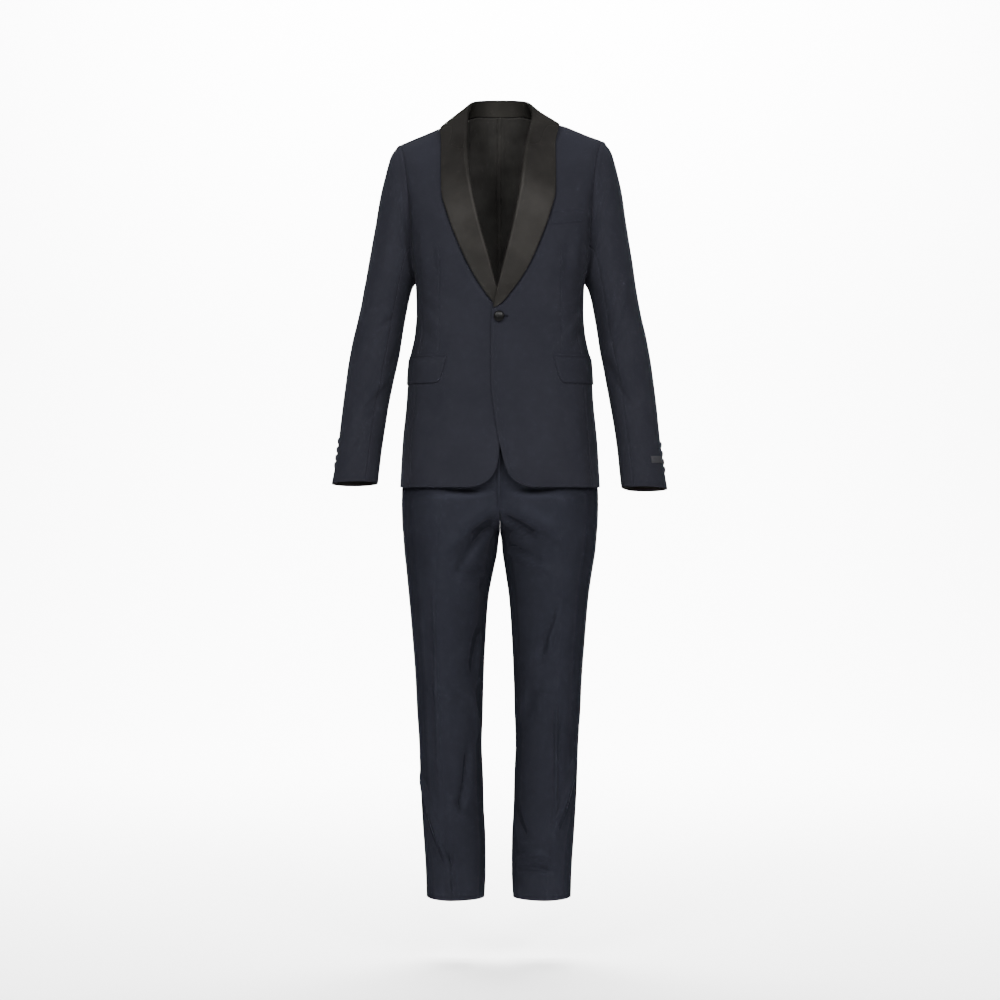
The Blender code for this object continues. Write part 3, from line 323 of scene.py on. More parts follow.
# How the set hangs, off from even: the left shoulder sits higher and further out, the left sleeve
# falls lower and closer in, and the legs drift to the right. Lift and out grow from nothing at
# their own distance from the centre.
HANG = Table(
    "z lift lift_from out out_from",
    (60, 8, 75, 5, 165),
    (-28, 8, 75, 5, 165),
    (-110, 6.5, 75, 5, 160),
    (-180, 3, 90, 4, 155),
    (-250, 0.5, 120, 3.5, 155),
    (-300, 0, 160, 1.5, 160),
    (-350, -0.5, 165, 1, 165),
    (-400, -1.5, 168, 0, 168),
    (-450, -2.5, 178, 0, 178),
    (-560, -6, 186, -1, 186),
    (-697, -10, 196, -1.2, 196),
)
LIFT_SPAN, OUT_SPAN = 60.0, 40.0
LEG_DRIFT, DRIFT_TOP_Z, DRIFT_FADE = -2.5, -800.0, 120.0

# Sleeve sections. The outer line is the silhouette away from the body, the inner line faces it.
SLEEVE = Table(
    "station outer_x outer_z inner_x inner_z mid_y half_depth tilt",
    (1, 211, -44, 166.7, -302, 10, 68, 0),
    (2, 220.5, -74, 168.3, -304.5, 11, 71, 0),
    (3, 233, -125, 170.5, -308, 12, 72, 0),
    (4, 242.5, -180, 173, -315, 13, 71, 0),
    (5, 253, -240, 176.5, -328, 13, 69, 0),
    (6, 264, -302, 181, -350, 12, 66, 0),
    (7, 274.5, -357, 187, -383, 9, 62.5, 0),
    (8, 287.5, -412, 194.5, -432, 1, 59, 1),
    (9, 298, -478, 207, -494, -12, 55, 2),
    (10, 305.5, -540, 218, -554, -28, 51, 3),
    (11, 311, -604, 227, -616, -46, 47, 4),
    (12, 317, -652, 231.5, -660, -60, 44.5, 5),
    (13, 323.5, -691, 234, -690, -70, 42.5, 5),
)
CUFF_STATION = 13
FRONT_SLEEVE_SEAM = -120
BACK_SLEEVE_SEAM = 100
CUFF_SEAM_DRIFT = 62
DRIFT_START, DRIFT_LENGTH = 2, 10
SLEEVE_HALF_GAP = 0.05
HEAD_CORNER = (0.35, 1.45)  # stations between which the sleeve head rounds over
TUCK_DEPTH, TUCK_REACH = 2.1, 3.5  # the seam allowance tucked in under the body's armhole edge

# One trouser leg. crease_x is where the pressed crease runs, in_x is 0 at the centre seams.
LEG = Table(
    "z out_x out_y crease_x front_y back_y in_x in_front_y in_back_y",
    (-533, 150, 0, 78, -91, 88, 0, -95, 84),
    (-570, 157, 2, 82, -93, 94, 0, -98, 90),
    (-640, 178.5, 6, 94, -97, 110, 0, -103, 105),
    (-697, 190.4, 8, 104, -101, 117, 0, -106, 110),
    (-730, 191.1, 9, 110, -101, 117, 0, -99, 107),
    (-755, 190.6, 9, 113, -100, 116, 0, -78, 95),
    (-775, 189.8, 9, 115, -99, 114, 0, -40, 62),
    (-783, 188.8, 9, 116, -98.5, 113, 0, -6, 26),
    (-800, 187.6, 9, 117, -97.5, 111, 2.5, 8, 10),
    (-823, 185.6, 9, 119, -96, 109, 4.5, 9, 9),
    (-854, 181.4, 9, 121, -94, 106, 10, 9, 9),
    (-916, 173.9, 8, 121, -89, 101, 20, 8, 8),
    (-979, 168.4, 7, 118, -84, 95, 24.5, 7, 7),
    (-1072, 161.4, 6, 113, -76, 87, 29, 6, 6),
    (-1135, 158.4, 6, 111, -71, 83, 30.5, 6, 6),
    (-1197, 154.4, 7, 109, -67, 80, 32.5, 7, 7),
    (-1260, 152.4, 8, 107, -63, 77, 30, 8, 8),
    (-1322, 149.4, 9, 103, -60, 76, 28.5, 9, 9),
    (-1384, 145.4, 10, 98, -57, 75, 25.5, 10, 10),
    (-1447, 141.4, 11, 94, -54, 75, 25, 11, 11),
    (-1496, 139.9, 12, 91, -52, 75, 27.5, 12, 12),
)
FOLD_FADE = 24.0

FLAP_TOP, FLAP_BOTTOM = -447.0, -497.0
FLAP_FRONT_ANGLE, FLAP_BACK_ANGLE = 31.0, 97.0
FLAP_SLANT = 4.0  # degrees that the front edge runs back on its way down
FLAP_CORNER = 4.0
JET_HEIGHT = 6.0
WELT_TOP, WELT_BOTTOM, WELT_RISE = -175.0, -196.0, 6.0
WELT_FRONT_X, WELT_SIDE_X = 99.0, 164.0
LABEL_TOP, LABEL_BOTTOM = 11.53, 11.83
LABEL_FRONT_ANGLE, LABEL_BACK_ANGLE = -66.0, -12.0

# ---------------------------------------------------------------- folds
# On the jacket u is degrees round the body from the centre front and v the height. On a sleeve u is
# the station and v the degrees round it. On the trousers u is the distance from the centre and v
# the height.

BODY_SCALE = (2.6, 1.0)
SLEEVE_SCALE = (58, 1.1)
LEG_SCALE = (1.0, 1.0)

# Below the neck, by distance from the centre and height
LINING_PULLS = Folds(
    (1.0, 1.0),
    (4, 46, -13, 4, 2, 4.5, 0.2, 2.6),
    (-42, 44, -30, -24, 3, 6, 0.3, 2.2),
    (40, 44, 27, -14, -3, 7, 0.3, 1.8),
    (-21, 26, -27, -84, 3, 8, 0.0, -2.6),
    (13, 34, 15, -52, -2, 5, 0.0, -1.6),
    (-8, -40, -4, -190, 2, 6, 0.2, 1.5),
    (30, -30, 20, -150, 3, 9, 0.2, 1.7),
    (-44, -60, -34, -170, 2, 8, 0.2, 1.5),
)

BODY_FOLDS = {
    LEFT: Folds(
        BODY_SCALE,
        (80, -346, 38, -424, -5, 11, 0.3, 2.6),
        (84, -378, 46, -438, -6, 9, 0.2, -1.6),
        (70, -328, 26, -368, 6, 10, 0.3, 1.4),
        (62, -318, 50, -200, 6, 18, 0.2, 2.6),
        (46, -300, 42, -214, 3, 9, 0.0, -1.1),
        (33, -404, 30, -560, 5, 26, 0.0, 1.6),
        (56, -690, 48, -530, 5, 24, 0.0, 2.2),
        (98, -330, 150, -372, 6, 14, 0.2, 2.6),
        (96, -362, 156, -398, 8, 12, 0.2, -2.0),
        (110, -640, 120, -520, 4, 18, 0.0, 2.6),
        (150, -300, 138, -140, -10, 20, 0.2, 3.0),
        (166, -400, 150, -560, 6, 22, 0.0, 2.2),
        (136, -690, 144, -560, 6, 24, 0.0, 2.6),
    ),
    RIGHT: Folds(
        BODY_SCALE,
        (82, -330, 40, -392, -5, 12, 0.3, 2.2),
        (86, -366, 44, -420, -6, 10, 0.2, -1.5),
        (68, -312, 24, -352, 5, 11, 0.2, 1.3),
        (63, -312, 50, -190, 6, 18, 0.2, 2.6),
        (44, -296, 43, -224, 3, 9, 0.0, -1.0),
        (36, -420, 28, -580, -5, 26, 0.0, 1.5),
        (52, -690, 58, -540, -5, 24, 0.0, 2.2),
        (96, -322, 148, -366, 8, 14, 0.2, 2.4),
        (98, -352, 150, -390, 8, 12, 0.2, -2.0),
        (112, -640, 118, -540, -4, 20, 0.0, 2.4),
        (148, -290, 140, -150, -12, 20, 0.2, 2.8),
        (164, -420, 154, -590, -6, 22, 0.0, 2.2),
        (138, -680, 142, -560, -6, 24, 0.0, 2.4),
    ),
}

SLEEVE_FOLDS = {
    LEFT: Folds(
        SLEEVE_SCALE,
        (5.2, -44, 7.4, -118, 6, 22, 0.2, 3.4),
        (6.3, -60, 8.2, -136, 5, 12, 0.3, -2.4),
        (8.3, -158, 9.7, -104, 2, 18, 0.3, -4.4),
        (8.9, -136, 10.3, -62, 6, 15, 0.3, 2.8),
        (9.4, -54, 10.9, -118, 4, 20, 0.2, 3.0),
        (2.2, -112, 4.6, -78, 4, 16, 0.2, 2.4),
        (1.2, -86, 2.6, -48, 3, 15, 0.1, 1.5),
        (11.2, -118, 12.4, -60, 3, 14, 0.2, 1.6),
        (6.6, 40, 8.4, 110, -6, 22, 0.2, 3.2),
        (7.6, 60, 9.2, 130, -5, 12, 0.2, -2.4),
        (8.8, 120, 10.2, 60, 6, 20, 0.2, 3.2),
        (2.0, 60, 4.4, 110, 5, 20, 0.2, 2.6),
        (7.2, 172, 8.6, 134, 3, 14, 0.0, -2.2),
    ),
    RIGHT: Folds(
        SLEEVE_SCALE,
        (5.8, -100, 7.9, -30, 8, 19, 0.4, 4.2),
        (6.7, -132, 8.5, -58, 6, 12, 0.3, -3.4),
        (7.6, -96, 9.2, -36, 4, 13, 0.2, 2.2),
        (8.8, -148, 10.6, -56, 6, 18, 0.4, 4.2),
        (9.8, -132, 11.5, -66, 5, 13, 0.2, -2.4),
        (2.4, -108, 4.9, -66, 4, 16, 0.2, 2.4),
        (1.2, -84, 2.6, -44, 3, 15, 0.1, 1.5),
        (11.3, -104, 12.5, -48, 3, 14, 0.2, 1.6),
        (6.2, 110, 8.2, 40, 6, 22, 0.2, 3.2),
        (7.2, 128, 9.0, 62, 6, 12, 0.2, -2.4),
        (9.0, 60, 10.4, 120, -6, 20, 0.2, 3.2),
        (2.0, 110, 4.4, 60, 5, 20, 0.2, 2.6),
        (7.4, -172, 8.8, -138, 3, 14, 0.0, -2.2),
    ),
}

LEG_FOLDS = {
    (LEFT, False): Folds(
        LEG_SCALE,
        (14, -702, 214, -696, 0, 12, 0.0, -7.0),
        (14, -744, 112, -796, 6, 18, 0.3, 7.0),
        (0, -752, 70, -800, 3, 7, 0.3, -8.0),
        (22, -796, 62, -786, 3, 6, 0.2, -4.0),
        (10, -812, 82, -850, 4, 8, 0.3, -8.0),
        (30, -828, 104, -872, 5, 12, 0.2, 4.5),
        (122, -920, 92, -1014, -4, 8, 0.2, 5.5),
        (112, -934, 78, -1034, -5, 8, 0.2, -6.5),
        (124, -1068, 70, -1100, 5, 14, 0.2, 4.0),
        (64, -1080, 44, -1150, 3, 12, 0.2, -4.0),
        (111, -1110, 110, -1340, 0, 4.5, 0.0, 3.6),
        (150, -1214, 104, -1360, 5, 5.5, 0.2, 7.5),
        (156, -1250, 114, -1376, 5, 8, 0.2, -5.0),
        (24, -1304, 54, -1382, -4, 9, 0.2, -7.0),
        (36, -1404, 104, -1416, 4, 9, 0.2, 4.5),
        (34, -1434, 104, -1440, 4, 8, 0.2, -7.0),
    ),
    (RIGHT, False): Folds(
        LEG_SCALE,
        (14, -702, 214, -696, 0, 12, 0.0, -7.0),
        (12, -736, 108, -836, 8, 18, 0.3, 7.0),
        (0, -758, 78, -862, 6, 10, 0.3, -8.5),
        (26, -868, 84, -856, 3, 6, 0.2, -5.5),
        (30, -886, 92, -880, 4, 14, 0.2, 4.0),
        (126, -880, 115, -1300, 0, 4.5, 0.0, 3.6),
        (32, -966, 48, -1064, 3, 9, 0.2, -6.5),
        (132, -1072, 76, -1104, 4, 13, 0.2, 4.0),
        (52, -1086, 38, -1186, -3, 5.5, 0.2, 5.5),
        (58, -1190, 78, -1334, -6, 9, 0.2, -8.0),
        (96, -1290, 56, -1340, 4, 12, 0.2, 4.5),
        (156, -1230, 90, -1432, 7, 5.5, 0.3, 7.5),
        (158, -1276, 102, -1444, 6, 8, 0.2, -5.0),
        (90, -1386, 84, -1496, 2, 8, 0.2, -4.5),
    ),
    (LEFT, True): Folds(
        LEG_SCALE,
        (24, -806, 104, -842, 6, 12, 0.2, -3.0),
        (26, -836, 124, -872, 6, 16, 0.2, 3.5),
        (120, -1080, 60, -1046, 5, 14, 0.2, 2.6),
        (140, -1180, 60, -1300, 6, 16, 0.2, 4.0),
        (128, -1236, 66, -1340, 5, 10, 0.2, -2.4),
    ),
    (RIGHT, True): Folds(
        LEG_SCALE,
        (22, -812, 110, -836, 6, 12, 0.2, -3.0),
        (24, -852, 130, -866, 6, 16, 0.2, 3.5),
        (116, -1096, 56, -1060, 5, 14, 0.2, 2.6),
        (136, -1225, 56, -1330, 6, 16, 0.2, 4.0),
        (132, -1276, 64, -1366, 5, 10, 0.2, -2.4),
    ),
}


# ---------------------------------------------------------------- forms


def shoulder_line(x):
    return SHOULDER_Z + SHOULDER_SLOPE * (SHOULDER_X - np.abs(x))


def torso_y(x, z, back):
    """Depth of the jacket body's outer face."""
    x = np.abs(x)
    share = np.clip(x / TORSO.at("half_width", z), 0, 1)
    side_y = TORSO.at("side_y", z)
    full_y = TORSO.at("back_y" if back else "front_y", z)
    y = side_y + (full_y - side_y) * (1 - share**ROUNDNESS) ** (1 / ROUNDNESS)
    ridge_y, ridge_z = SHOULDER_Y, shoulder_line(x)
    if back:
        across_neck = np.sqrt(1 - np.clip(x / NECK_HALF, 0, 1) ** 2)
        ridge_y = SHOULDER_Y + (NECK_BACK_Y - SHOULDER_Y) * across_neck
        ridge_z = np.minimum(ridge_z, NECK_Z)
    fall = SHOULDER_FALL.at("back" if back else "front", x)
    down = np.sin(np.pi / 2 * np.clip((ridge_z - z) / fall, 0, 1)) ** SHOULDER_CURVE
    return ridge_y + (y - ridge_y) * down


def angle_of(x, z):
    """Degrees round the body's section, from the centre line, at which it is x wide."""
    share = np.clip(x / TORSO.at("half_width", z), 0, 1)
    return np.degrees(np.arcsin(share ** (ROUNDNESS / 2)))


def torso_point(z, angle):
    """Points of the body, at angles from 0 at the centre front to 180 at the centre back."""
    z, angle = np.broadcast_arrays(np.asarray(z, float), np.asarray(angle, float))
    from_centre = np.where(angle > 90, 180 - angle, angle)
    x = TORSO.at("half_width", z) * np.sin(np.radians(from_centre)) ** (2 / ROUNDNESS)
    y = np.where(angle > 90, torso_y(x, z, True), torso_y(x, z, False))
    return np.stack([x, y, z], axis=-1)


def armhole_z(degrees):
    """Height on the armhole, 0 being the shoulder and 180 the underarm."""
    middle, half = (SHOULDER_Z + UNDERARM_Z) / 2, (SHOULDER_Z - UNDERARM_Z) / 2
    return middle + half * np.cos(np.radians(degrees))


def armhole_point(degrees):
    z = armhole_z(degrees)
    back = degrees > 0
    x = np.where(back, ARMHOLE.at("back_x", z), ARMHOLE.at("front_x", z))
    y = np.where(back, torso_y(x, z, True), torso_y(x, z, False))
    return np.stack([x, y, z], axis=-1)


def seam_share(z, top):
    return smooth_step((z - WAIST_BLEND_Z) / (top - WAIST_BLEND_Z))


def side_body_angle(z, degrees, share):
    """Angle of a column of the side body that ends on the armhole at the given degrees."""
    below = FRONT_SEAM_ANGLE + share * (180 - BACK_SEAM_ANGLE - FRONT_SEAM_ANGLE)
    top = armhole_z(degrees)
    column = "back_x" if degrees > 0 else "front_x"
    at_armhole = float(angle_of(ARMHOLE.at(column, top), top))
    if degrees > 0:
        at_armhole = 180 - at_armhole
    if abs(degrees) > 179:
        at_armhole = 90.0
    return below + (at_armhole - below) * seam_share(z, top)


def side_edge_x(z, back):
    """How far out a front or a back reaches: to its side seam, or to the armhole above that."""
    if z > armhole_z(JUNCTION) - 0.01:
        return float(ARMHOLE.at("back_x" if back else "front_x", z))
    angle = side_body_angle(z, JUNCTION if back else -JUNCTION, 1 if back else 0)
    return float(torso_point(z, angle)[0])


def front_y(side, x, z):
    """Outer face of a jacket front. x counts from the centre towards the wearer's own side."""
    y = torso_y(x, z, False)
    if side == LEFT:
        fade = 1 - smooth_step((x - LAP_FULL_X) / (LAP_GONE_X - LAP_FULL_X))
        y = y - LEFT_LIFT.at("lift", z) * fade
    return y


def leg_bezier(start, start_handle, end_handle, end):
    t = np.linspace(0, 1, LEG_CURVE_SAMPLES)[:, None]
    return (
        start * (1 - t) ** 3
        + 3 * start_handle * t * (1 - t) ** 2
        + 3 * end_handle * t**2 * (1 - t)
        + end * t**3
    )


def leg_half_section(z, back):
    """Outseam to crease, and crease to inseam or centre seam, as two fine runs of (x, y)."""
    read = LEG.row(z)
    out = np.array([read["out_x"], read["out_y"]])
    crease = np.array([read["crease_x"], read["back_y" if back else "front_y"]])
    inner = np.array([read["in_x"], read["in_back_y" if back else "in_front_y"]])
    ridge = math.copysign(CREASE_RIDGE, crease[1])
    behind = crease - np.array([0, ridge])
    handles = []
    for end in (out, inner):
        beside_end = end + np.array([0, (behind[1] - end[1]) * QUARTER])
        handles.append([beside_end, behind + np.array([(end[0] - crease[0]) * QUARTER, 0])])
    return leg_bezier(out, *handles[0], crease), leg_bezier(crease, *handles[1][::-1], inner)


def sleeve_seams(station):
    drift = CUFF_SEAM_DRIFT * smooth_step((station - DRIFT_START) / DRIFT_LENGTH)
    return FRONT_SLEEVE_SEAM, BACK_SLEEVE_SEAM - drift


def sleeve_grid(stations, degrees):
    """Points of a sleeve's outer face. 0 degrees is the outer line and 180 the inner one."""
    signed = np.where(degrees > 180, degrees - 360, degrees)
    turn = np.radians(degrees)
    out, across = (1 + np.cos(turn)) / 2, np.sin(turn)
    read = SLEEVE.row(np.maximum(stations, 1))
    x = read["inner_x"] + (read["outer_x"] - read["inner_x"]) * out
    y = read["mid_y"] + read["half_depth"] * across
    z = read["inner_z"] + (read["outer_z"] - read["inner_z"]) * out - read["tilt"] * across
    far = np.stack([x, y, z], axis=-1)
    near = armhole_point(signed)
    return near + (far - near) * np.clip(stations, 0, 1)[..., None]


def rounded_sleeve_grid(stations, degrees):
    """The same, with the corner at the first station rounded off."""
    low, high = HEAD_CORNER
    t = ((stations - low) / (high - low))[..., None]
    start, corner, end = (sleeve_grid(np.full_like(stations, s), degrees) for s in (low, 1.0, high))
    rounded = start * (1 - t) ** 2 + 2 * corner * t * (1 - t) + end * t**2
    return np.where((t > 0) & (t < 1), rounded, sleeve_grid(stations, degrees))


def hung(points):
    """World points, in millimetres, as the set hangs."""
    x, y, z = np.moveaxis(np.asarray(points, float), -1, 0)
    lifted = smooth_step((x - HANG.at("lift_from", z)) / LIFT_SPAN)
    moved_out = smooth_step((x - HANG.at("out_from", z)) / OUT_SPAN)
    drift = LEG_DRIFT * smooth_step((DRIFT_TOP_Z - z) / DRIFT_FADE)
    new_x = x + HANG.at("out", z) * moved_out + drift
    return np.stack([new_x, y, z + HANG.at("lift", z) * lifted], axis=-1)


# ---------------------------------------------------------------- meshes


def end_rich(count, richness=0.8):
    """Shares from 0 to 1 that lie closer together near both ends, for seams and rounded edges."""
    t = np.linspace(0, 1, count)
    return t - richness * np.sin(2 * np.pi * t) / (2 * np.pi)


def run_length(points):
    return np.concatenate([[0], np.cumsum(np.linalg.norm(np.diff(points, axis=0), axis=1))])


def along_run(points, shares, start=0.0, end=0.0):
    """Points at the given shares of a run, which may be trimmed at either end."""
    lengths = run_length(points)
    wanted = start + (lengths[-1] - start - end) * shares
    return np.stack([np.interp(wanted, lengths, column) for column in points.T], axis=1)


def normals_of(grid, outward):
    """Unit normals of a grid of points, on the side that the outward vectors point to."""
    normal = np.cross(np.gradient(grid, axis=0), np.gradient(grid, axis=1))
    normal /= np.maximum(np.linalg.norm(normal, axis=2, keepdims=True), 1e-9)
    return normal * np.where((normal * outward).sum(axis=2, keepdims=True) < 0, -1, 1)


def run_lengths(grid, axis):
    """Distances from the first line of a grid along one of its axes."""
    step = np.linalg.norm(np.diff(grid, axis=axis), axis=2)
    lengths = np.cumsum(step, axis=axis)
    first = np.zeros_like(np.take(lengths, [0], axis=axis))
    return np.concatenate([first, lengths], axis=axis)


def from_last(grid):
    """Distances of a grid's points from its last column."""
    across = run_lengths(grid, 1)
    return across[:, -1:] - across


def from_sides(grid):
    """Distances of a grid's points from its nearer side column."""
    return np.minimum(run_lengths(grid, 1), from_last(grid))


def edge_dips(grid, edges):
    """How far each point sinks near the panel's edges. edges gives those that aren't free."""
    down = run_lengths(grid, 0)
    distances = {
        "first_column": run_lengths(grid, 1),
        "last_column": from_last(grid),
        "first_row": down,
        "last_row": down[-1:] - down,
    }
    dip = np.zeros(grid.shape[:2])
    for edge, distance in distances.items():
        depth, width = edges.get(edge, FREE)
        dip = np.maximum(dip, depth * np.exp(-((distance / width) ** 2)))
    return dip


def ripple(grid, size, seed):
    """Slow unevenness from -1 to 1, size being the distance between its crests."""
    flat = grid.reshape(-1, 3) / size + seed
    heights = [noise.noise(Vector(point)) for point in flat]
    return np.array(heights).reshape(grid.shape[:2])


def new_piece(name, points, edges, faces, materials):
    """A smooth mesh object in the set's collection."""
    mesh = bpy.data.meshes.new(name)
    mesh.from_pydata(points, edges, faces)
    mesh.update()
    for material in materials:
        mesh.materials.append(material)
    mesh.shade_smooth()
    piece = bpy.data.objects.new(name, mesh)
    collection.objects.link(piece)
    return piece


def skin(name, grid, outward, side, materials, thickness):
    """One panel: a grid of points as the outer face, thickened inwards."""
    rows, columns = grid.shape[:2]
    normals = normals_of(grid, outward)
    points = hung(grid * np.array([side, 1, 1])).reshape(-1, 3) * MM
    index = np.arange(rows * columns).reshape(rows, columns)
    a, b, c, d = index[:-1, :-1], index[:-1, 1:], index[1:, 1:], index[1:, :-1]
    quads = np.stack([a, b, c, d], axis=-1).reshape(-1, 4)
    middle = (rows // 2, columns // 2)
    here = grid[middle]
    first = np.cross(grid[middle[0], middle[1] + 1] - here, grid[middle[0] + 1, middle[1]] - here)
    if (first @ normals[middle] < 0) != (side == RIGHT):
        quads = quads[:, ::-1]
    piece = new_piece(name, points.tolist(), [], quads.tolist(), materials)
    mesh = piece.data
    across, down = run_lengths(grid, 1) * MM, run_lengths(grid, 0) * MM
    place = np.stack([across, down], axis=-1).reshape(-1, 2)
    layer = mesh.uv_layers.new(name="cloth")
    corners = np.zeros(len(mesh.loops), int)
    mesh.loops.foreach_get("vertex_index", corners)
    layer.data.foreach_set("uv", place[corners].ravel())
    solidify = piece.modifiers.new("cloth", "SOLIDIFY")
    solidify.thickness = thickness * MM
    solidify.offset = -1
    solidify.material_offset = len(materials) - 1
    solidify.use_quality_normals = True
    return piece


def settle(piece, node):
    """Rides the piece on the set and puts it in place of its solid."""
    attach(piece, "root")
    if node:
        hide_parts(node)
    return piece


def panel(name, grid, outward, side, materials, thickness, slot, held, with_pieces=()):
    """A skin in place of its solid."""
    piece = settle(skin(name + "_cloth", grid, outward, side, materials, thickness), name)
    return piece


def cloth(name, grid, outward, side, materials, thickness, slot, edges, folds=None):
    """A hung panel of cloth with its folds and edges."""
    normals = normals_of(grid, outward)
    normals[..., 0] = np.where(np.abs(grid[..., 0]) <= SEAM_GAP, 0, normals[..., 0])
    height = -edge_dips(grid, edges)
    if folds is not None:
        height = height + folds
    panel(name, grid + normals * height[..., None], outward, side, materials, thickness, slot, "hung")


def suiting(name, grid, outward, side, edges, folds):
    """A panel of the jacket, with its lining on the inner face."""
    cloth(name, grid, outward, side, [wool, lining], SUITING, "navy_wool", edges, folds)


# ---------------------------------------------------------------- jacket body

JUNCTION_Z = float(armhole_z(JUNCTION))
BODY_ROWS, SIDE_ROWS, ROW_RICHNESS = 170, 113, 0.6
EDGE_TO_LAPEL_COLUMNS, LAPEL_TO_DART_COLUMNS, DART_TO_SIDE_COLUMNS = 22, 34, 38
BACK_COLUMNS, SIDE_COLUMNS, LINING_COLUMNS = 56, 26, 40
ROW_SAMPLES = 120
SEAM_FADE = 14.0
BODY_Z = JACKET_HEM + (SHOULDER_Z - JACKET_HEM) * end_rich(BODY_ROWS, ROW_RICHNESS)


def row_z(edge_z, edge_x, x, back):
    """Height along a row that ends at edge_z: level on the body, tipped like the seam above."""
    share = np.clip((edge_z - YOKE_Z) / (SHOULDER_Z - YOKE_Z), 0, 1)
    rise = SHOULDER_SLOPE * (edge_x - np.abs(x))
    if back:
        rise = np.minimum(rise, NECK_Z - SHOULDER_Z)
    return edge_z + share * rise


def front_run(side, edge_z):
    """A fine run of points across a front, from its free edge to its side edge."""
    name = SIDE_NAMES[side]
    edge_x = side_edge_x(edge_z, False)
    inner_x = float(FRONT_EDGE.at(name, edge_z))
    for _ in range(6):
        inner_x = float(FRONT_EDGE.at(name, row_z(edge_z, edge_x, inner_x, False)))
    first = math.copysign(float(angle_of(abs(inner_x), edge_z)), inner_x)
    angles = np.radians(np.linspace(first, float(angle_of(edge_x, edge_z)), ROW_SAMPLES))
    half_width = float(TORSO.at("half_width", edge_z))
    x = np.sign(angles) * np.abs(np.sin(angles)) ** (2 / ROUNDNESS) * half_width
    x[0], x[-1] = inner_x, edge_x
    z = row_z(edge_z, edge_x, x, False)
    return np.stack([x, front_y(side, x, z), z], axis=1)


def back_run(edge_z):
    """A fine run of points across a back, from the centre seam to its side edge."""
    edge_x = side_edge_x(edge_z, True)
    ends = [float(angle_of(end, edge_z)) for end in (SEAM_GAP / 2, edge_x)]
    angles = np.radians(np.linspace(*ends, ROW_SAMPLES))
    x = np.sin(angles) ** (2 / ROUNDNESS) * float(TORSO.at("half_width", edge_z))
    x[0], x[-1] = SEAM_GAP / 2, edge_x
    z = row_z(edge_z, edge_x, x, True)
    return np.stack([x, torso_y(x, z, True), z], axis=1)


def body_angles(grid, back):
    """Degrees round the body of each point, for placing folds."""
    x, z = grid[..., 0], grid[..., 2]
    angle = angle_of(np.abs(x), z) * np.sign(x)
    return 180 - angle if back else angle


def uneven(grid, side, seed):
    """Slow and small unevenness of worn cloth, the same for what lies on it."""
    points = grid * np.array([side, 1, 1])
    (slow, slow_size), (small, small_size) = SLOW_UNEVEN, SMALL_UNEVEN
    return slow * ripple(points, slow_size, seed) + small * ripple(points, small_size, seed + 2)


def worn(grid, side, seed, seam_distance):
    """The same, dying out near the seams so that neighbours still meet."""
    return uneven(grid, side, seed) * smooth_step(seam_distance / SEAM_FADE)


def body_folds(grid, side, back, seam_distance):
    folds = BODY_FOLDS[side].height(body_angles(grid, back), grid[..., 2])
    return folds + worn(grid, side, JACKET_SEED, seam_distance)


def valley(z):
    """How far the cloth turns in beside the armhole at a height, as a share."""
    above = smooth_step((VALLEY_TOP_Z - z) / VALLEY_FADE)
    return above * smooth_step((z - JUNCTION_Z + VALLEY_FOOT) / VALLEY_FOOT)


def turned_in(grid, away):
    """Points beside the lower armhole, moved towards the middle of the body.

    away is each point's distance from the seam beside the armhole.
    """
    pull = np.clip((SHOULDER_Y - grid[..., 1]) / VALLEY_REACH, -1, 1)
    shift = VALLEY_DEPTH * valley(grid[..., 2]) * np.exp(-((away / VALLEY_WIDTH) ** 2)) * pull
    return grid + shift[..., None] * np.array([0, 1, 0])


def from_seams(grid, beside):
    """Distances from the seam above, or from the one beside where that is nearer."""
    down = run_lengths(grid, 0)
    return np.minimum(beside, down[-1:] - down)


def front_shares(name, run, edge_z):
    """Shares of a front's run, closer together at its ends, beside the lapel and at the dart."""
    lengths = run_length(run)
    dart = np.interp(DART_X, run[:, 0], lengths)
    lapel_x = LAPEL.at(name + "_outer", edge_z)
    lapel = np.clip(np.interp(lapel_x, run[:, 0], lengths), LAPEL_MARGIN, dart - LAPEL_MARGIN)
    beside = lapel * end_rich(EDGE_TO_LAPEL_COLUMNS)
    between = lapel + (dart - lapel) * end_rich(LAPEL_TO_DART_COLUMNS)
    beyond = dart + (lengths[-1] - dart) * end_rich(DART_TO_SIDE_COLUMNS)
    return np.concatenate([beside, between[1:], beyond[1:]]) / lengths[-1]


def groove(grid, column, top, foot, measures):
    """A sunken line along one column of a panel, which fades out at both ends."""
    depth, width, top_fade, foot_fade = measures
    across = run_lengths(grid, 1)
    away = across - across[:, column, None]
    z = grid[..., 2]
    fade = smooth_step((top - z) / top_fade) * smooth_step((z - foot) / foot_fade)
    return -depth * fade * np.exp(-((away / width) ** 2))


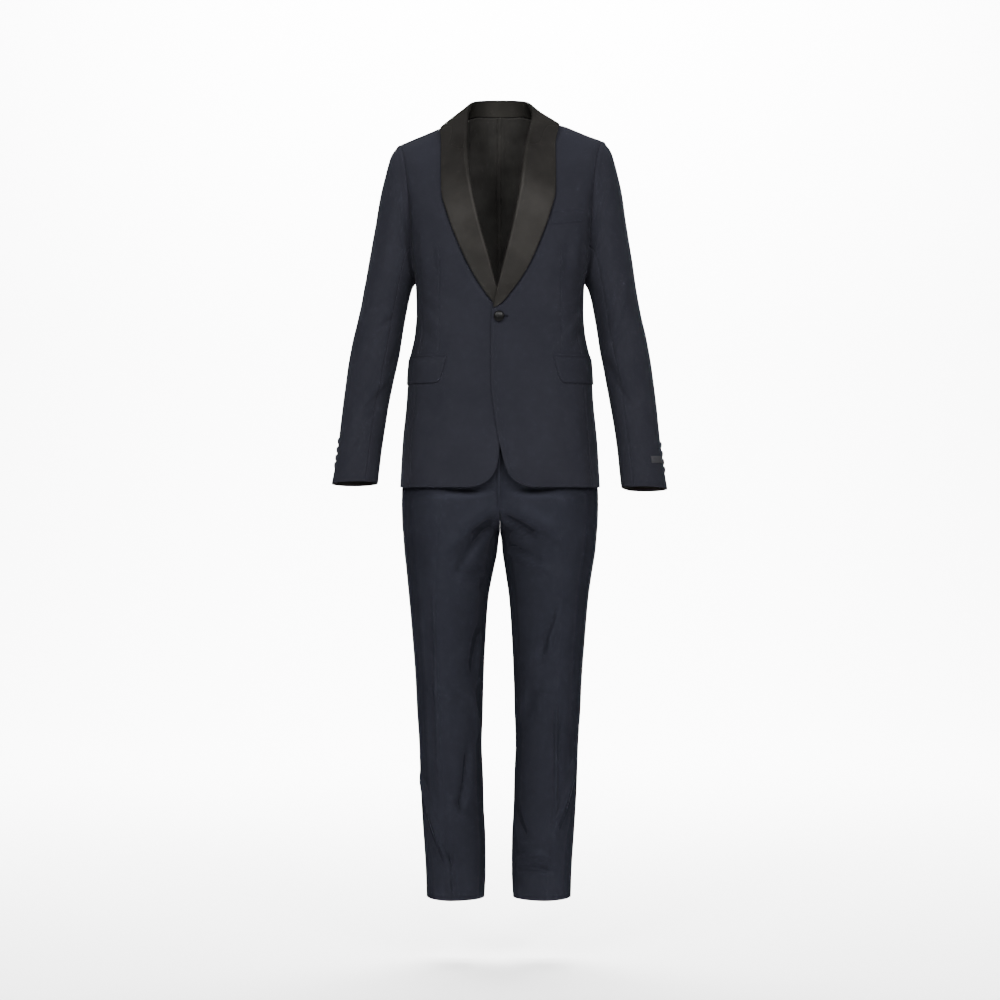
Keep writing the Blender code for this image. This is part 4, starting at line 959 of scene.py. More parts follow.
def jacket_front(name, side):
    runs = [front_run(side, z) for z in BODY_Z]
    shares = [front_shares(name, run, z) for run, z in zip(runs, BODY_Z)]
    grid = np.stack([along_run(run, share, 0, SEAM_GAP / 2) for run, share in zip(runs, shares)])
    grid[-1, :, 1] -= SEAM_GAP / 2
    grid = turned_in(grid, from_last(grid))
    folds = body_folds(grid, side, False, from_seams(grid, from_last(grid)))
    lapel_column = EDGE_TO_LAPEL_COLUMNS
    dart_column = EDGE_TO_LAPEL_COLUMNS + LAPEL_TO_DART_COLUMNS - 2
    folds = folds + groove(grid, dart_column, DART_TOP_Z, DART_FOOT_Z, DART)
    folds = folds + groove(grid, lapel_column, LAPEL_GROOVE_TOP_Z, LAPEL_TIP_Z, LAPEL_GROOVE)
    if side == LEFT:  # its free edge stands off the right front
        from_edge = run_lengths(grid, 1)
        below = smooth_step((LAPEL_TIP_Z - grid[..., 2]) / FRONT_LIFT_FADE)
        beside = smooth_step((FRONT_LIFT_WIDTH - from_edge) / FRONT_LIFT_WIDTH)
        folds = folds + FRONT_LIFT * below * beside
    edges = {"last_column": SEWN, "last_row": LEVEL}
    suiting("jacket_front_" + name, grid, FRONT_OUTWARD, side, edges, folds)


def back_grid(columns=BACK_COLUMNS):
    shares = end_rich(columns)
    grid = np.stack([along_run(back_run(z), shares, 0, SEAM_GAP / 2) for z in BODY_Z])
    grid[-1, :, 1] += SEAM_GAP / 2
    return turned_in(grid, from_last(grid))


def jacket_back(name, side):
    grid = back_grid()
    folds = body_folds(grid, side, True, from_seams(grid, from_sides(grid)))
    suiting("jacket_back_" + name, grid, BACK_OUTWARD, side, SEWN_ABOVE_AND_BESIDE, folds)


def jacket_side(name, side):
    columns = []
    for share in end_rich(SIDE_COLUMNS):
        degrees = -JUNCTION - (360 - 2 * JUNCTION) * share
        degrees = degrees if degrees > -180 else degrees + 360
        top = float(armhole_z(degrees))
        z = JACKET_HEM + (top - JACKET_HEM) * end_rich(SIDE_ROWS, ROW_RICHNESS)
        columns.append(torso_point(z, side_body_angle(z, degrees, share)))
    grid = np.stack(columns, axis=1)
    for edge, neighbour in ((0, 1), (-1, -2)):
        step = grid[:, neighbour] - grid[:, edge]
        grid[:, edge] += step / np.linalg.norm(step, axis=1, keepdims=True) * SEAM_GAP / 2
    grid = turned_in(grid, from_seams(grid, from_sides(grid)))
    angles = angle_of(grid[..., 0], grid[..., 2])
    angles = np.where(grid[..., 1] > TORSO.at("side_y", grid[..., 2]), 180 - angles, angles)
    folds = BODY_FOLDS[side].height(angles, grid[..., 2])
    suiting("jacket_side_" + name, grid, SIDEWAYS, side, SEWN_ABOVE_AND_BESIDE, folds)


def back_lining(name, side):
    """The lining inside the back, with its centre pleat."""
    grid = back_grid(LINING_COLUMNS)
    normals = normals_of(grid, BACK_OUTWARD)
    shown = BODY_Z > LINING_FOOT_Z
    normals[:, 0, 0] = 0
    inner = (grid - normals * (SUITING + SEWN[0] + LINING_GAP))[shown, :-1]
    fade = 1 - smooth_step(inner[..., 0] / LINING_PLEAT_WIDTH)
    inner[..., 1] -= PLEAT_DEPTH * fade
    if side == LEFT:  # the pleat's fold laps the other side
        inner[:, 0] += np.array([-LINING_PLEAT_LAP, -LINING_PLEAT_LIFT, 0])
        inner[:, 1, 1] -= LINING_PLEAT_LIFT
    inner[..., 1] -= LINING_PULLS.height(inner[..., 0] * side, inner[..., 2])
    look = [lining], LINING_CLOTH, "black_lining"
    panel("back_lining_" + name, inner, BACK_OUTWARD, side, *look, "hung")


# ---------------------------------------------------------------- sleeves

SLEEVE_ROWS = 170
TOP_COLUMNS, UNDER_COLUMNS = 58, 38
ROPE_HEIGHT, ROPE_AWAY = 1.3, 4.0  # fullness just below the armhole seam, over the shoulder
ROPE_DEGREES, ROPE_FADE = 130, 40
VENT_STATION, VENT_DEPTH, VENT_FADE = 11.0, 0.45, 0.15  # the cuff's closed vent, beside its buttons
HEAD_STATION = 0.02  # where a panel starts, just outside the armhole


def top_sleeve_edges(station):
    front, back = sleeve_seams(station)
    return front + SLEEVE_HALF_GAP, back - SLEEVE_HALF_GAP


def under_sleeve_edges(station):
    front, back = sleeve_seams(station)
    return back + SLEEVE_HALF_GAP, front + 360 - SLEEVE_HALF_GAP


def pad(depth):
    """Repeats the first of a column of depths for the tucked row."""
    return np.concatenate([depth[:1], depth]) if np.ndim(depth) else depth


def over_shoulder(degrees):
    return smooth_step((ROPE_DEGREES - np.abs(degrees)) / ROPE_FADE)


def tuck_in(grid, outward, folds, edges):
    """Adds the seam allowance above the first row, which lies inside the body's armhole edge."""
    middle = np.array([0, SHOULDER_Y, (SHOULDER_Z + UNDERARM_Z) / 2])
    inward = (middle - grid[0]) * np.array([0, 1, 1])
    inward /= np.linalg.norm(inward, axis=1, keepdims=True)
    tuck = grid[0] + inward * TUCK_DEPTH - np.array([TUCK_REACH, 0, 0])
    grid, outward = np.concatenate([[tuck], grid]), np.concatenate([outward[:1], outward])
    folds = np.concatenate([np.zeros_like(folds[:1]), folds])
    return grid, outward, folds, {key: (pad(depth), width) for key, (depth, width) in edges.items()}


def sleeve_panel(name, side, seams_at, columns):
    """A sleeve panel between two seams. seams_at gives their degrees at a station."""
    stations = HEAD_STATION + (CUFF_STATION - HEAD_STATION) * end_rich(SLEEVE_ROWS, ROW_RICHNESS)
    shares = end_rich(columns)
    degrees = np.array([first + (last - first) * shares for first, last in map(seams_at, stations)])
    stations = np.repeat(stations[:, None], columns, axis=1)
    grid = rounded_sleeve_grid(stations, degrees)
    grid = turned_in(grid, run_lengths(grid, 0))
    signed = np.where(degrees > 180, degrees - 360, degrees)
    folds = SLEEVE_FOLDS[side].height(stations, signed)
    outer, inner = (sleeve_grid(stations, np.full_like(degrees, turn)) for turn in (0, 180))
    down = run_lengths(grid, 0)
    seam_distance = np.minimum(from_sides(grid), down)
    folds = folds + worn(grid, side, SLEEVE_SEED, seam_distance)
    rope = ROPE_HEIGHT * np.exp(-(((down - ROPE_AWAY) / ROPE_AWAY) ** 2))
    folds = folds + rope * over_shoulder(signed)
    outward = grid - (outer + inner) / 2
    vent = SLEEVE_SEAM[0] + VENT_DEPTH * smooth_step((stations[:, :1] - VENT_STATION) / VENT_FADE)
    edges = {"first_column": SLEEVE_SEAM, "last_column": SLEEVE_SEAM, "first_row": LEVEL}
    edges["last_column" if name.startswith("top") else "first_column"] = (vent, SLEEVE_SEAM[1])
    grid, outward, folds, edges = tuck_in(grid, outward, folds, edges)
    suiting(name, grid, outward, side, edges, folds)


def sleeve(name, side):
    sleeve_panel("top_sleeve_" + name, side, top_sleeve_edges, TOP_COLUMNS)
    sleeve_panel("under_sleeve_" + name, side, under_sleeve_edges, UNDER_COLUMNS)


# ---------------------------------------------------------------- shawl collar

COLLAR_ROWS, LAPEL_ROWS = 60, 120
LAPEL_COLUMNS, ROLL_COLUMNS = 30, 9
COLLAR_SMOOTHING, SMOOTH_ROWS = 14, 84  # passes, and the rows from the centre back that they reach
ROLL_TURN = 180.0  # degrees that the cloth turns under at the roll line
LAPEL_SAMPLES = 40
NECK_ROLL, SIDE_ROLL, TIP_ROLL = 1.9, 5.5, 1.6  # radius at the nape, beside the neck and at the button
WIDEST_ROLL = 0.3  # the same, at most, as a share of the collar's width
TIP_ROLL_Z, TIP_ROLL_FADE = -285.0, 30.0
FACING = (2.0, 4.5, 7.0)  # how far the turned-under cloth carries on, at its columns


def lay_on_body(side, points, clearance):
    """Moves points out until they clear the body, forwards on the chest and back on the yoke."""
    x, y, z = points.T
    low = z - clearance
    below = low < shoulder_line(x)
    chest = np.minimum(y, front_y(side, x, low) - clearance)
    yoke = np.maximum(y, torso_y(x, low, True) + clearance)
    y = np.where(below & (y < SHOULDER_Y), chest, np.where(below & (low < NECK_Z), yoke, y))
    return np.stack([x, y, z], axis=1)


def collar_rows(side):
    """Roll line, outer edge, bulge, stand-off and roll radius of each row, from the nape down."""
    name = SIDE_NAMES[side]
    rows = []
    for place in COLLAR.key:
        read = COLLAR.row(place)
        roll = [read["roll_x"], read["roll_y"], read["roll_z"]]
        outer = [read["outer_x"], read["outer_y"], read["outer_z"]]
        radius = NECK_ROLL + (SIDE_ROLL - NECK_ROLL) * place / COLLAR.key[-1]
        rows.append(roll + outer + [read["bulge"], 0, radius])
    for z in np.linspace(LAPEL.key[-1], LAPEL_TIP_Z, LAPEL_SAMPLES):
        read = LAPEL.row(z)
        stand_off = read["stand_off"]
        roll, outer = (
            [read[name + key], front_y(side, read[name + key], z), z] for key in ("_roll", "_outer")
        )
        tip = smooth_step((TIP_ROLL_Z - z) / TIP_ROLL_FADE)
        radius = (stand_off + LAPEL_GAP + LAPEL_CLOTH + SUITING + LINING_GAP) / 2
        rows.append(roll + outer + [0, stand_off, radius * (1 - tip) + TIP_ROLL * tip])
    return np.array(rows)


def facing_share(radii):
    """How much of the facing carries on behind the roll: less where the roll is tight."""
    return np.clip(radii / NECK_ROLL - 0.2, 0.1, 1)


def collar_leaf(side):
    """The collar's outer face from the roll line to the outer edge, and the roll's radius at each row."""
    rows = collar_rows(side)
    order = np.arange(len(rows), dtype=float)
    neck = len(COLLAR.key)
    round_neck = np.linspace(0, neck - 1, COLLAR_ROWS, endpoint=False)
    wanted = np.concatenate([round_neck, np.linspace(neck - 1, len(rows) - 1, LAPEL_ROWS)])
    rows = np.stack([join_smoothly(order, column, wanted) for column in rows.T], axis=1)
    across = end_rich(LAPEL_COLUMNS, 0.7)
    grid, radii = [], []
    for row in rows:
        roll, outer, bulge, stand_off = row[:3], row[3:6], row[6], row[7]
        width = np.linalg.norm(outer - roll)
        radius = min(row[8], WIDEST_ROLL * width)
        start = roll + (outer - roll) * radius / width
        points = start + (outer - start) * across[:, None]
        away = np.array([roll[0], roll[1], 0]) / max(math.hypot(roll[0], roll[1]), 1)
        points = points + bulge * np.sin(np.pi * across)[:, None] * (away + np.array([0, 0, 0.7]))
        lifted = LAPEL_GAP + LAPEL_CLOTH + stand_off * (1 - across) ** 2
        grid.append(lay_on_body(side, points, lifted))
        radii.append(radius)
    leaf = np.array(grid)
    for _ in range(COLLAR_SMOOTHING):
        part = leaf[: SMOOTH_ROWS + 1]
        part[1:-1] = (part[:-2] + 2 * part[1:-1] + part[2:]) / 4
        part[:, 1:-1] = (part[:, :-2] + 2 * part[:, 1:-1] + part[:, 2:]) / 4
    return leaf, np.array(radii)[:, None]


def collar_grid(side):
    """The leaf with the cloth that has turned under at its roll, and outward vectors."""
    leaf, radii = collar_leaf(side)
    front_rows = leaf[..., 1] < SHOULDER_Y
    outward = np.where(front_rows[..., None], [0.2, -1, 0.3], [0.6, 1, 1])
    normal = normals_of(leaf, outward)[:, 0]
    inward = leaf[:, 0] - leaf[:, 1]
    inward -= normal * (inward * normal).sum(axis=1, keepdims=True)
    inward /= np.linalg.norm(inward, axis=1, keepdims=True)
    under = leaf[:, 0] - 2 * radii * normal
    turned_under = [under - inward * facing_share(radii) * away for away in FACING[::-1]]
    turned_outward = [-normal] * len(FACING)
    for turn in np.radians(np.linspace(ROLL_TURN, 0, ROLL_COLUMNS, endpoint=False)):
        spoke = math.cos(turn) * normal + math.sin(turn) * inward
        turned_under.append(leaf[:, 0] - radii * normal + radii * spoke)
        turned_outward.append(spoke)
    grid = np.concatenate([np.stack(turned_under, axis=1), leaf], axis=1)
    return grid, np.concatenate([np.stack(turned_outward, axis=1), outward], axis=1)


def shawl_collar(name, side):
    grid, outward = collar_grid(side)
    grid[0, :, 0] = SEAM_GAP / 2
    edges = {"first_column": LEVEL}
    cloth("shawl_collar_" + name, grid, outward, side, [satin, wool], LAPEL_CLOTH, "black_satin", edges)


def collar_stand():
    """The standing part of the collar inside the back of the neck, in one piece."""
    half = []
    shares = np.linspace(0, 1, STAND_COLUMNS)[:, None]
    for place in np.linspace(0, STAND_END, STAND_ROWS):
        read = COLLAR.row(place)
        roll = np.array([read["roll_x"], read["roll_y"], read["roll_z"]])
        away = (roll - [0, STAND_CENTRE_Y, roll[2]]) / math.hypot(roll[0], roll[1] - STAND_CENTRE_Y)
        top = roll - away * STAND_TOP_IN - np.array([0, 0, STAND_TOP_DOWN])
        turn = math.pi / 2 * place / STAND_QUARTER
        foot_x = (NECK_HALF - STAND_FOOT_IN) * math.sin(turn)
        foot_y = SHOULDER_Y + (NECK_BACK_Y - STAND_FOOT_IN - SHOULDER_Y) * math.cos(turn)
        foot_z = min(NECK_Z, shoulder_line(foot_x)) + STAND_FOOT_UP
        foot = np.array([foot_x, foot_y, foot_z])
        middle = (top + foot) / 2 - away * STAND_HOLLOW
        handle = 2 * middle - (top + foot) / 2
        half.append(top * (1 - shares) ** 2 + 2 * handle * shares * (1 - shares) + foot * shares**2)
    half = np.array(half)
    mirrored = half[:0:-1] * np.array([-1, 1, 1])
    grid = np.concatenate([mirrored, half])
    outward = grid * np.array([1, 1, 0]) - np.array([0, STAND_CENTRE_Y, 0])
    # The stand wears the darker copy of the satin, which is painted shade for the inside of the neck
    look = [stand_satin_painted_shade], STAND_CLOTH, "black_satin"
    panel("collar_stand", grid, outward, LEFT, *look, "stretched")


# ---------------------------------------------------------------- pockets

FLAP_ROWS, FLAP_COLUMNS, JET_ROWS = 20, 44, 8
WELT_ROWS, WELT_COLUMNS = 12, 24
LABEL_ROWS, LABEL_COLUMNS = 12, 28


def laid_strip(name, grid, outward, thickness, material, slot, side, gap, under=0.0, with_pieces=()):
    """A strip that lies on a panel: its points are the panel's, moved out over a gap.

    under is the panel's own relief.
    """
    normals = normals_of(grid, outward)
    raised = grid + normals * (gap + thickness + np.asarray(under))[..., None]
    raised = raised - normals * edge_dips(raised, {})[..., None]
    look = [material], thickness, slot
    return panel(name, raised, outward, side, *look, "stretched", with_pieces)


def body_relief(grid, side):
    """Folds and unevenness of the jacket's front under what lies on it."""
    return BODY_FOLDS[side].height(body_angles(grid, False), grid[..., 2]) + uneven(grid, side, JACKET_SEED)


def pocket(name, side):
    across = end_rich(FLAP_COLUMNS)
    angles = FLAP_FRONT_ANGLE + (FLAP_BACK_ANGLE - FLAP_FRONT_ANGLE) * across
    outward = np.array([1, -0.8, 0])
    rows = []
    for share in end_rich(FLAP_ROWS):
        inward = FLAP_CORNER * (1 - math.sqrt(1 - share**4))
        z = FLAP_TOP + (FLAP_BOTTOM - FLAP_TOP) * share
        first, last = FLAP_FRONT_ANGLE + inward + FLAP_SLANT * share, FLAP_BACK_ANGLE - inward
        rows.append(torso_point(np.full_like(across, z), first + (last - first) * across))
    foot = FLAP_TOP + SEAM_GAP
    heights = foot + JET_HEIGHT * end_rich(JET_ROWS)
    jet_rows = np.array([torso_point(np.full_like(angles, z), angles) for z in heights[::-1]])
    with_pieces = []
    for piece, grid, thickness, gap in (
        ("pocket_jet_", jet_rows, JET_CLOTH, JET_GAP),
        ("pocket_flap_", np.array(rows), FLAP_CLOTH, LAID_GAP),
    ):
        relief = body_relief(grid, side)
        strip = (piece + name, grid, outward, thickness, wool, "navy_wool", side, gap, relief)
        with_pieces = [laid_strip(*strip, with_pieces)]


def breast_welt():
    x = WELT_FRONT_X + (WELT_SIDE_X - WELT_FRONT_X) * end_rich(WELT_COLUMNS)
    rows = []
    for share in end_rich(WELT_ROWS):
        z = WELT_TOP + (WELT_BOTTOM - WELT_TOP) * share
        z = z + WELT_RISE * (x - WELT_FRONT_X) / (WELT_SIDE_X - WELT_FRONT_X)
        rows.append(np.stack([x, front_y(LEFT, x, z), z], axis=1))
    rows = np.array(rows)
    rows = turned_in(rows, np.vectorize(side_edge_x)(rows[..., 2], False) - rows[..., 0])
    relief = body_relief(rows, LEFT)
    laid_strip("breast_welt", rows, FORWARD, WELT_CLOTH, wool, "navy_wool", LEFT, WELT_GAP, relief)


def cuff_label():
    """A plain woven patch, laid on the left sleeve just above the cuff."""
    stations = np.linspace(LABEL_TOP, LABEL_BOTTOM, LABEL_ROWS)
    angles = np.linspace(LABEL_FRONT_ANGLE, LABEL_BACK_ANGLE, LABEL_COLUMNS)
    stations, angles = np.meshgrid(stations, angles, indexing="ij")
    grid = sleeve_grid(stations, angles)
    ends = sleeve_grid(np.full(2, LABEL_TOP), np.array([0.0, 180.0]))
    relief = SLEEVE_FOLDS[LEFT].height(stations, angles) + uneven(grid, LEFT, SLEEVE_SEED)
    outward = grid - ends.mean(axis=0)
    laid_strip("cuff_label", grid, outward, RIBBON, label_satin, "black_satin", LEFT, LABEL_GAP, relief)


# ---------------------------------------------------------------- buttons


def turned(name, profile, steps, material, node):
    """A solid of revolution about Z. The profile is (radius, height) from the top to the bottom."""
    points = [(radius * MM, 0, height * MM) for radius, height in profile]
    piece = new_piece(name, points, [(i, i + 1) for i in range(len(points) - 1)], [], [material])
    screw = piece.modifiers.new("turn", "SCREW")
    screw.steps = screw.render_steps = steps
    screw.use_merge_vertices = True
    screw.merge_threshold = 0.00001
    screw.use_smooth_shade = True
    return settle(piece, node)


def stand_on(piece, place, normal):
    """Puts a turned piece's base at a place in millimetres, with its axis along the normal."""
    turn = Vector([float(value) for value in normal]).to_track_quat("Z", "Y")
    piece.location = hung(place) * MM
    piece.rotation_euler = turn.to_euler()


def stitches(name, runs, width):
    """Sewn stitches as one mesh. Each is a start, an end and an outward normal, in millimetres."""
    points, faces = [], []
    for start, end, normal in runs:
        aside = np.cross(normal, end - start)
        aside *= width / 2 / np.linalg.norm(aside)
        middle, raised = (start + end) / 2, normal * width / 2
        first = len(points)
        points += [start, end, middle + aside, middle + raised, middle - aside, middle - raised]
        for a, b in ((2, 3), (3, 4), (4, 5), (5, 2)):
            faces += [(first, first + a, first + b), (first + 1, first + b, first + a)]
    piece = new_piece(name, (hung(np.array(points)) * MM).tolist(), [], faces, [thread])
    return settle(piece, None)


def buttonhole():
    """Whipped round its slit, in the left front beside the button."""
    button_x, z = FRONT_BUTTON_PLACE
    whips = []
    for x in button_x + np.arange(HOLE_START, HOLE_REACH, HOLE_SPACING):
        for away in (-1, 1):
            whips.append([(x, z + away * HOLE_SLIT), (x + HOLE_LEAN, z + away * HOLE_WHIP)])
    x = button_x + HOLE_REACH
    whips.append([(x, z - HOLE_WHIP), (x, z + HOLE_WHIP)])
    runs = [
        [np.array([x, front_y(LEFT, x, z) - HOLE_RAISE, z]) for x, z in ends] + [FORWARD] for ends in whips
    ]
    stitches("buttonhole_stitches", runs, HOLE_THREAD)


def fly_stitches():
    """The curved line that holds the fly's facing, on the left trouser front."""
    pitch = FLY_STITCH + FLY_STITCH_GAP
    straight = [(FLY_STITCH_X, z) for z in np.arange(WAISTBAND_BOTTOM, FLY_CURVE_Z, -pitch)]
    quarter = math.pi / 2 * FLY_STITCH_X
    turns = np.arange(0, 1, pitch / quarter) * math.pi / 2
    curve = [(FLY_STITCH_X * math.cos(t), FLY_CURVE_Z - FLY_STITCH_DROP * math.sin(t)) for t in turns]
    line = np.array(straight + curve)
    step = np.diff(line, axis=0)
    step *= FLY_STITCH / np.linalg.norm(step, axis=1, keepdims=True)
    runs = []
    for start, along in zip(line, step):
        ends = []
        for x, z in (start, start + along):
            run = leg_half_section(z, False)[1][::-1]
            relief = LEG_FOLDS[LEFT, False].height(x, z) * smooth_step(x / FOLD_FADE)
            relief = relief + uneven(np.array([[[x, -100.0, z]]]), LEFT, TROUSER_SEED)[0, 0]
            ends.append(np.array([x, np.interp(x, *run.T) - relief - FLY_STITCH_RAISE, z]))
        runs.append(ends + [FORWARD])
    stitches("fly_stitches", runs, FLY_THREAD)


def front_button():
    x, z = FRONT_BUTTON_PLACE
    radius, height = FRONT_BUTTON_RADIUS, FRONT_BUTTON_HEIGHT
    turns = np.radians(np.linspace(90, -25, 12))
    dome = [(radius * math.cos(t), height * (0.42 + 0.58 * math.sin(t))) for t in turns]
    profile = [(0, height)] + dome[1:] + [(0.7 * radius, 0), (0, 0)]
    button = turned("front_button_satin", profile, 48, button_satin, "front_button")
    y = float(front_y(LEFT, x, z)) - BUTTON_SHANK
    stand_on(button, (x, y, z), FORWARD)


def cuff_button_place(number, side):
    """Middle of a cuff button's base and its axis, on the wearer's left."""
    z = CUFF_BUTTON_FIRST_Z - number * CUFF_BUTTON_SPACING
    outer_z = [SLEEVE.at("outer_z", s) for s in (VENT_STATION, VENT_STATION + 1)]
    station = VENT_STATION + (z - outer_z[0]) / (outer_z[1] - outer_z[0])
    degrees = sleeve_seams(station)[1] - CUFF_BUTTON_SEAM_OFFSET
    place, outer, inner = sleeve_grid(np.full(3, station), np.array([degrees, 0, 180]))
    normal = place - (outer + inner) / 2
    normal[2] = 0
    normal /= np.linalg.norm(normal)
    relief = SLEEVE_FOLDS[side].height(station, degrees)
    return place + normal * (LAID_GAP / 2 + relief), normal


def cuff_buttons(name, side):
    threads = []
    mirror = np.array([side, 1, 1])
    profile = [(share * CUFF_BUTTON_RADIUS, rise * CUFF_BUTTON_HEIGHT) for share, rise in CUFF_BUTTON_PROFILE]
    for number in range(CUFF_BUTTONS):
        place, normal = cuff_button_place(number, side)
        node = f"cuff_button_{name}_{number + 1}"
        button = turned(node + "_horn", profile, 32, button_black, node)
        stand_on(button, place * mirror, normal * mirror)
        across = np.cross(normal, [0, 0, 1])
        up = np.cross(across, normal)
        centre = place + normal * (CUFF_THREAD_RISE * CUFF_BUTTON_HEIGHT)
        for a, b in ((across + up, -across - up), (across - up, up - across)):
            ends = [(centre + corner * BUTTON_HOLES) * mirror for corner in (a, b)]
            threads.append(ends + [normal * mirror])
    stitches(f"cuff_button_threads_{name}", threads, BUTTON_THREAD)


# ---------------------------------------------------------------- trousers

LEG_ROWS, WAISTBAND_ROWS = 190, 14
OUTER_LEG_COLUMNS, INNER_LEG_COLUMNS, STRIPE_COLUMNS = 34, 34, 15
LEG_RICHNESS = 0.85
LEG_MIDDLE_Y, LEG_MIDDLE_Z = 8, -900
LEG_Z = TROUSER_HEM + (WAISTBAND_BOTTOM - 1 - TROUSER_HEM) * end_rich(LEG_ROWS, 0.5)


def leg_row(side, z, back):
    """Points of a half section, the outseam first, then the crease and the inseam or centre seam.

    Down to the foot of the fly, the left front carries on past the centre and lies over the right one.
    """
    outer_run, inner_run = leg_half_section(z, back)
    if side == LEFT and not back and z > FLY_FOOT_Z:
        share = float(smooth_step((z - FLY_FOOT_Z) / (FLY_FULL_Z - FLY_FOOT_Z)))
        lift = FLY_LIFT * share * smooth_step((FLY_RISE - inner_run[:, 0]) / FLY_RISE)
        inner_run = inner_run - np.stack([np.zeros_like(lift), lift], axis=1)
        inner_run = np.concatenate([inner_run, [inner_run[-1] - [FLY_LAP * share + SEAM_GAP, 0]]])
    outer = along_run(outer_run, end_rich(OUTER_LEG_COLUMNS, LEG_RICHNESS), SEAM_GAP / 2)
    inner = along_run(inner_run, end_rich(INNER_LEG_COLUMNS, LEG_RICHNESS), 0, SEAM_GAP / 2)
    row = np.concatenate([outer, inner[1:]])
    if side == RIGHT or back or z <= FLY_FOOT_Z:
        row[-1, 0] = max(row[-1, 0], SEAM_GAP / 2)
    return np.column_stack([row, np.full(len(row), z)])


def trouser_panel(name, side, back):
    grid = np.array([leg_row(side, z, back) for z in LEG_Z])
    centre = np.array([LEG.at("crease_x", LEG_MIDDLE_Z), LEG_MIDDLE_Y, 0])
    outward = (grid - centre) * np.array([1, 1, 0])
    on_centre = grid[:, -1, 2] > CROTCH_Z - 1
    outward[:, -1] = np.where(on_centre[:, None], [0, 1 if back else -1, 0], [-1, 0, 0])
    seam_distance = from_sides(grid)
    folds = LEG_FOLDS[side, back].height(grid[..., 0], grid[..., 2])
    folds = folds * smooth_step(seam_distance / FOLD_FADE)
    folds = folds + worn(grid, side, TROUSER_SEED, seam_distance)
    piece = ("trouser_back_" if back else "trouser_front_") + name
    look = [trouser_wool, trouser_wool], TROUSER_CLOTH, "trouser_wool"
    cloth(piece, grid, outward, side, *look, SEWN_ABOVE_AND_BESIDE, folds)


def trouser_leg(name, side):
    for back in (False, True):
        trouser_panel(name, side, back)


def side_stripe(name, side):
    rows = []
    for z in LEG_Z:
        front, back = leg_half_section(z, False)[0], leg_half_section(z, True)[0]
        run = np.concatenate([back[::-1], front[1:]])
        lengths = run_length(run)
        wanted = lengths[len(back) - 1] + STRIPE_HALF * np.linspace(-1, 1, STRIPE_COLUMNS)
        row = [np.interp(wanted, lengths, column) for column in run.T]
        rows.append(np.column_stack([*row, np.full(STRIPE_COLUMNS, z)]))
    piece = "side_stripe_" + name
    laid_strip(piece, np.array(rows), SIDEWAYS, RIBBON, satin, "black_satin", side, SEAM_GAP)


def waistband(name, side):
    rows = []
    for z in np.linspace(WAISTBAND_TOP, WAISTBAND_BOTTOM, WAISTBAND_ROWS):
        front, back = leg_row(side, z, False), leg_row(side, z, True)
        rows.append(np.concatenate([front[::-1], back[1:]]))
    grid = np.array(rows)
    look = [trouser_wool], WAISTBAND_CLOTH, "trouser_wool"
    panel("waistband_" + name, grid, grid * np.array([1, 1, 0]), side, *look, "stretched")


# ---------------------------------------------------------------- materials


def set_inputs(node, values):
    for name, value in values.items():
        node.inputs[name].default_value = value


def mixed(nodes, links, factor, first, second):
    """A number node that mixes two others."""
    mix = nodes.new("ShaderNodeMix")
    mix.data_type = "FLOAT"
    set_inputs(mix, {"Factor": factor})
    links.new(first, mix.inputs["A"])
    links.new(second, mix.inputs["B"])
    return mix.outputs["Result"]


def noise_node(nodes, links, vector, scale, detail):
    texture = nodes.new("ShaderNodeTexNoise")
    set_inputs(texture, {"Scale": scale, "Detail": detail})
    links.new(vector, texture.inputs["Vector"])
    return texture.outputs["Fac"]


def two_tone(nodes, links, value, low, high, dark, light):
    ramp = nodes.new("ShaderNodeValToRGB")
    first, last = ramp.color_ramp.elements
    first.position, last.position = low, high
    first.color, last.color = (*dark, 1), (*light, 1)
    links.new(value, ramp.inputs["Fac"])
    return ramp.outputs["Color"]


def new_material(name):
    material = bpy.data.materials.new(name)
    material.use_nodes = True
    return material, material.node_tree.nodes["Principled BSDF"]


def start_material(name, specular, sheen, tint, facing):
    """facing is the share of the cloth that mirrors what it faces."""
    material, shader = new_material(name)
    nodes, links = material.node_tree.nodes, material.node_tree.links
    set_inputs(shader, {"Metallic": facing, "Specular IOR Level": specular})
    set_inputs(shader, {"Specular Tint": (0.05, 0.05, 0.05, 1)})
    set_inputs(shader, {"Sheen Weight": sheen, "Sheen Roughness": 0.4, "Sheen Tint": (*tint, 1)})
    return material, nodes, links, shader, nodes.new("ShaderNodeTexCoord")


def add_bump(nodes, links, shader, value, strength, distance_mm):
    bump = nodes.new("ShaderNodeBump")
    set_inputs(bump, {"Strength": strength, "Distance": distance_mm * MM})
    links.new(value, bump.inputs["Height"])
    links.new(bump.outputs["Normal"], shader.inputs["Normal"])


def cloth_material(name, dark, light, roughness, sheen, weave_mm, bump_mm, facing):
    """Woven cloth: a fine twill in bump and colour, with slow and small unevenness of tone."""
    tint = (0.78, 0.83, 0.95)
    material, nodes, links, shader, where = start_material(name, 0.0, sheen, tint, facing)
    set_inputs(shader, {"Roughness": roughness})
    twill = nodes.new("ShaderNodeTexWave")
    twill.wave_type, twill.bands_direction = "BANDS", "DIAGONAL"
    set_inputs(twill, {"Scale": 0.5 / (weave_mm * MM), "Distortion": 1.5, "Detail": 2.0, "Detail Scale": 3.0})
    links.new(where.outputs["UV"], twill.inputs["Vector"])
    fibre = noise_node(nodes, links, where.outputs["Object"], 900.0, 3.0)
    slow = noise_node(nodes, links, where.outputs["Object"], 14.0, 4.0)
    grain = mixed(nodes, links, 0.5, twill.outputs["Fac"], fibre)
    tone = mixed(nodes, links, 0.35, grain, slow)
    links.new(two_tone(nodes, links, tone, 0.25, 0.75, dark, light), shader.inputs["Base Color"])
    add_bump(nodes, links, shader, grain, 0.5, bump_mm)
    return material


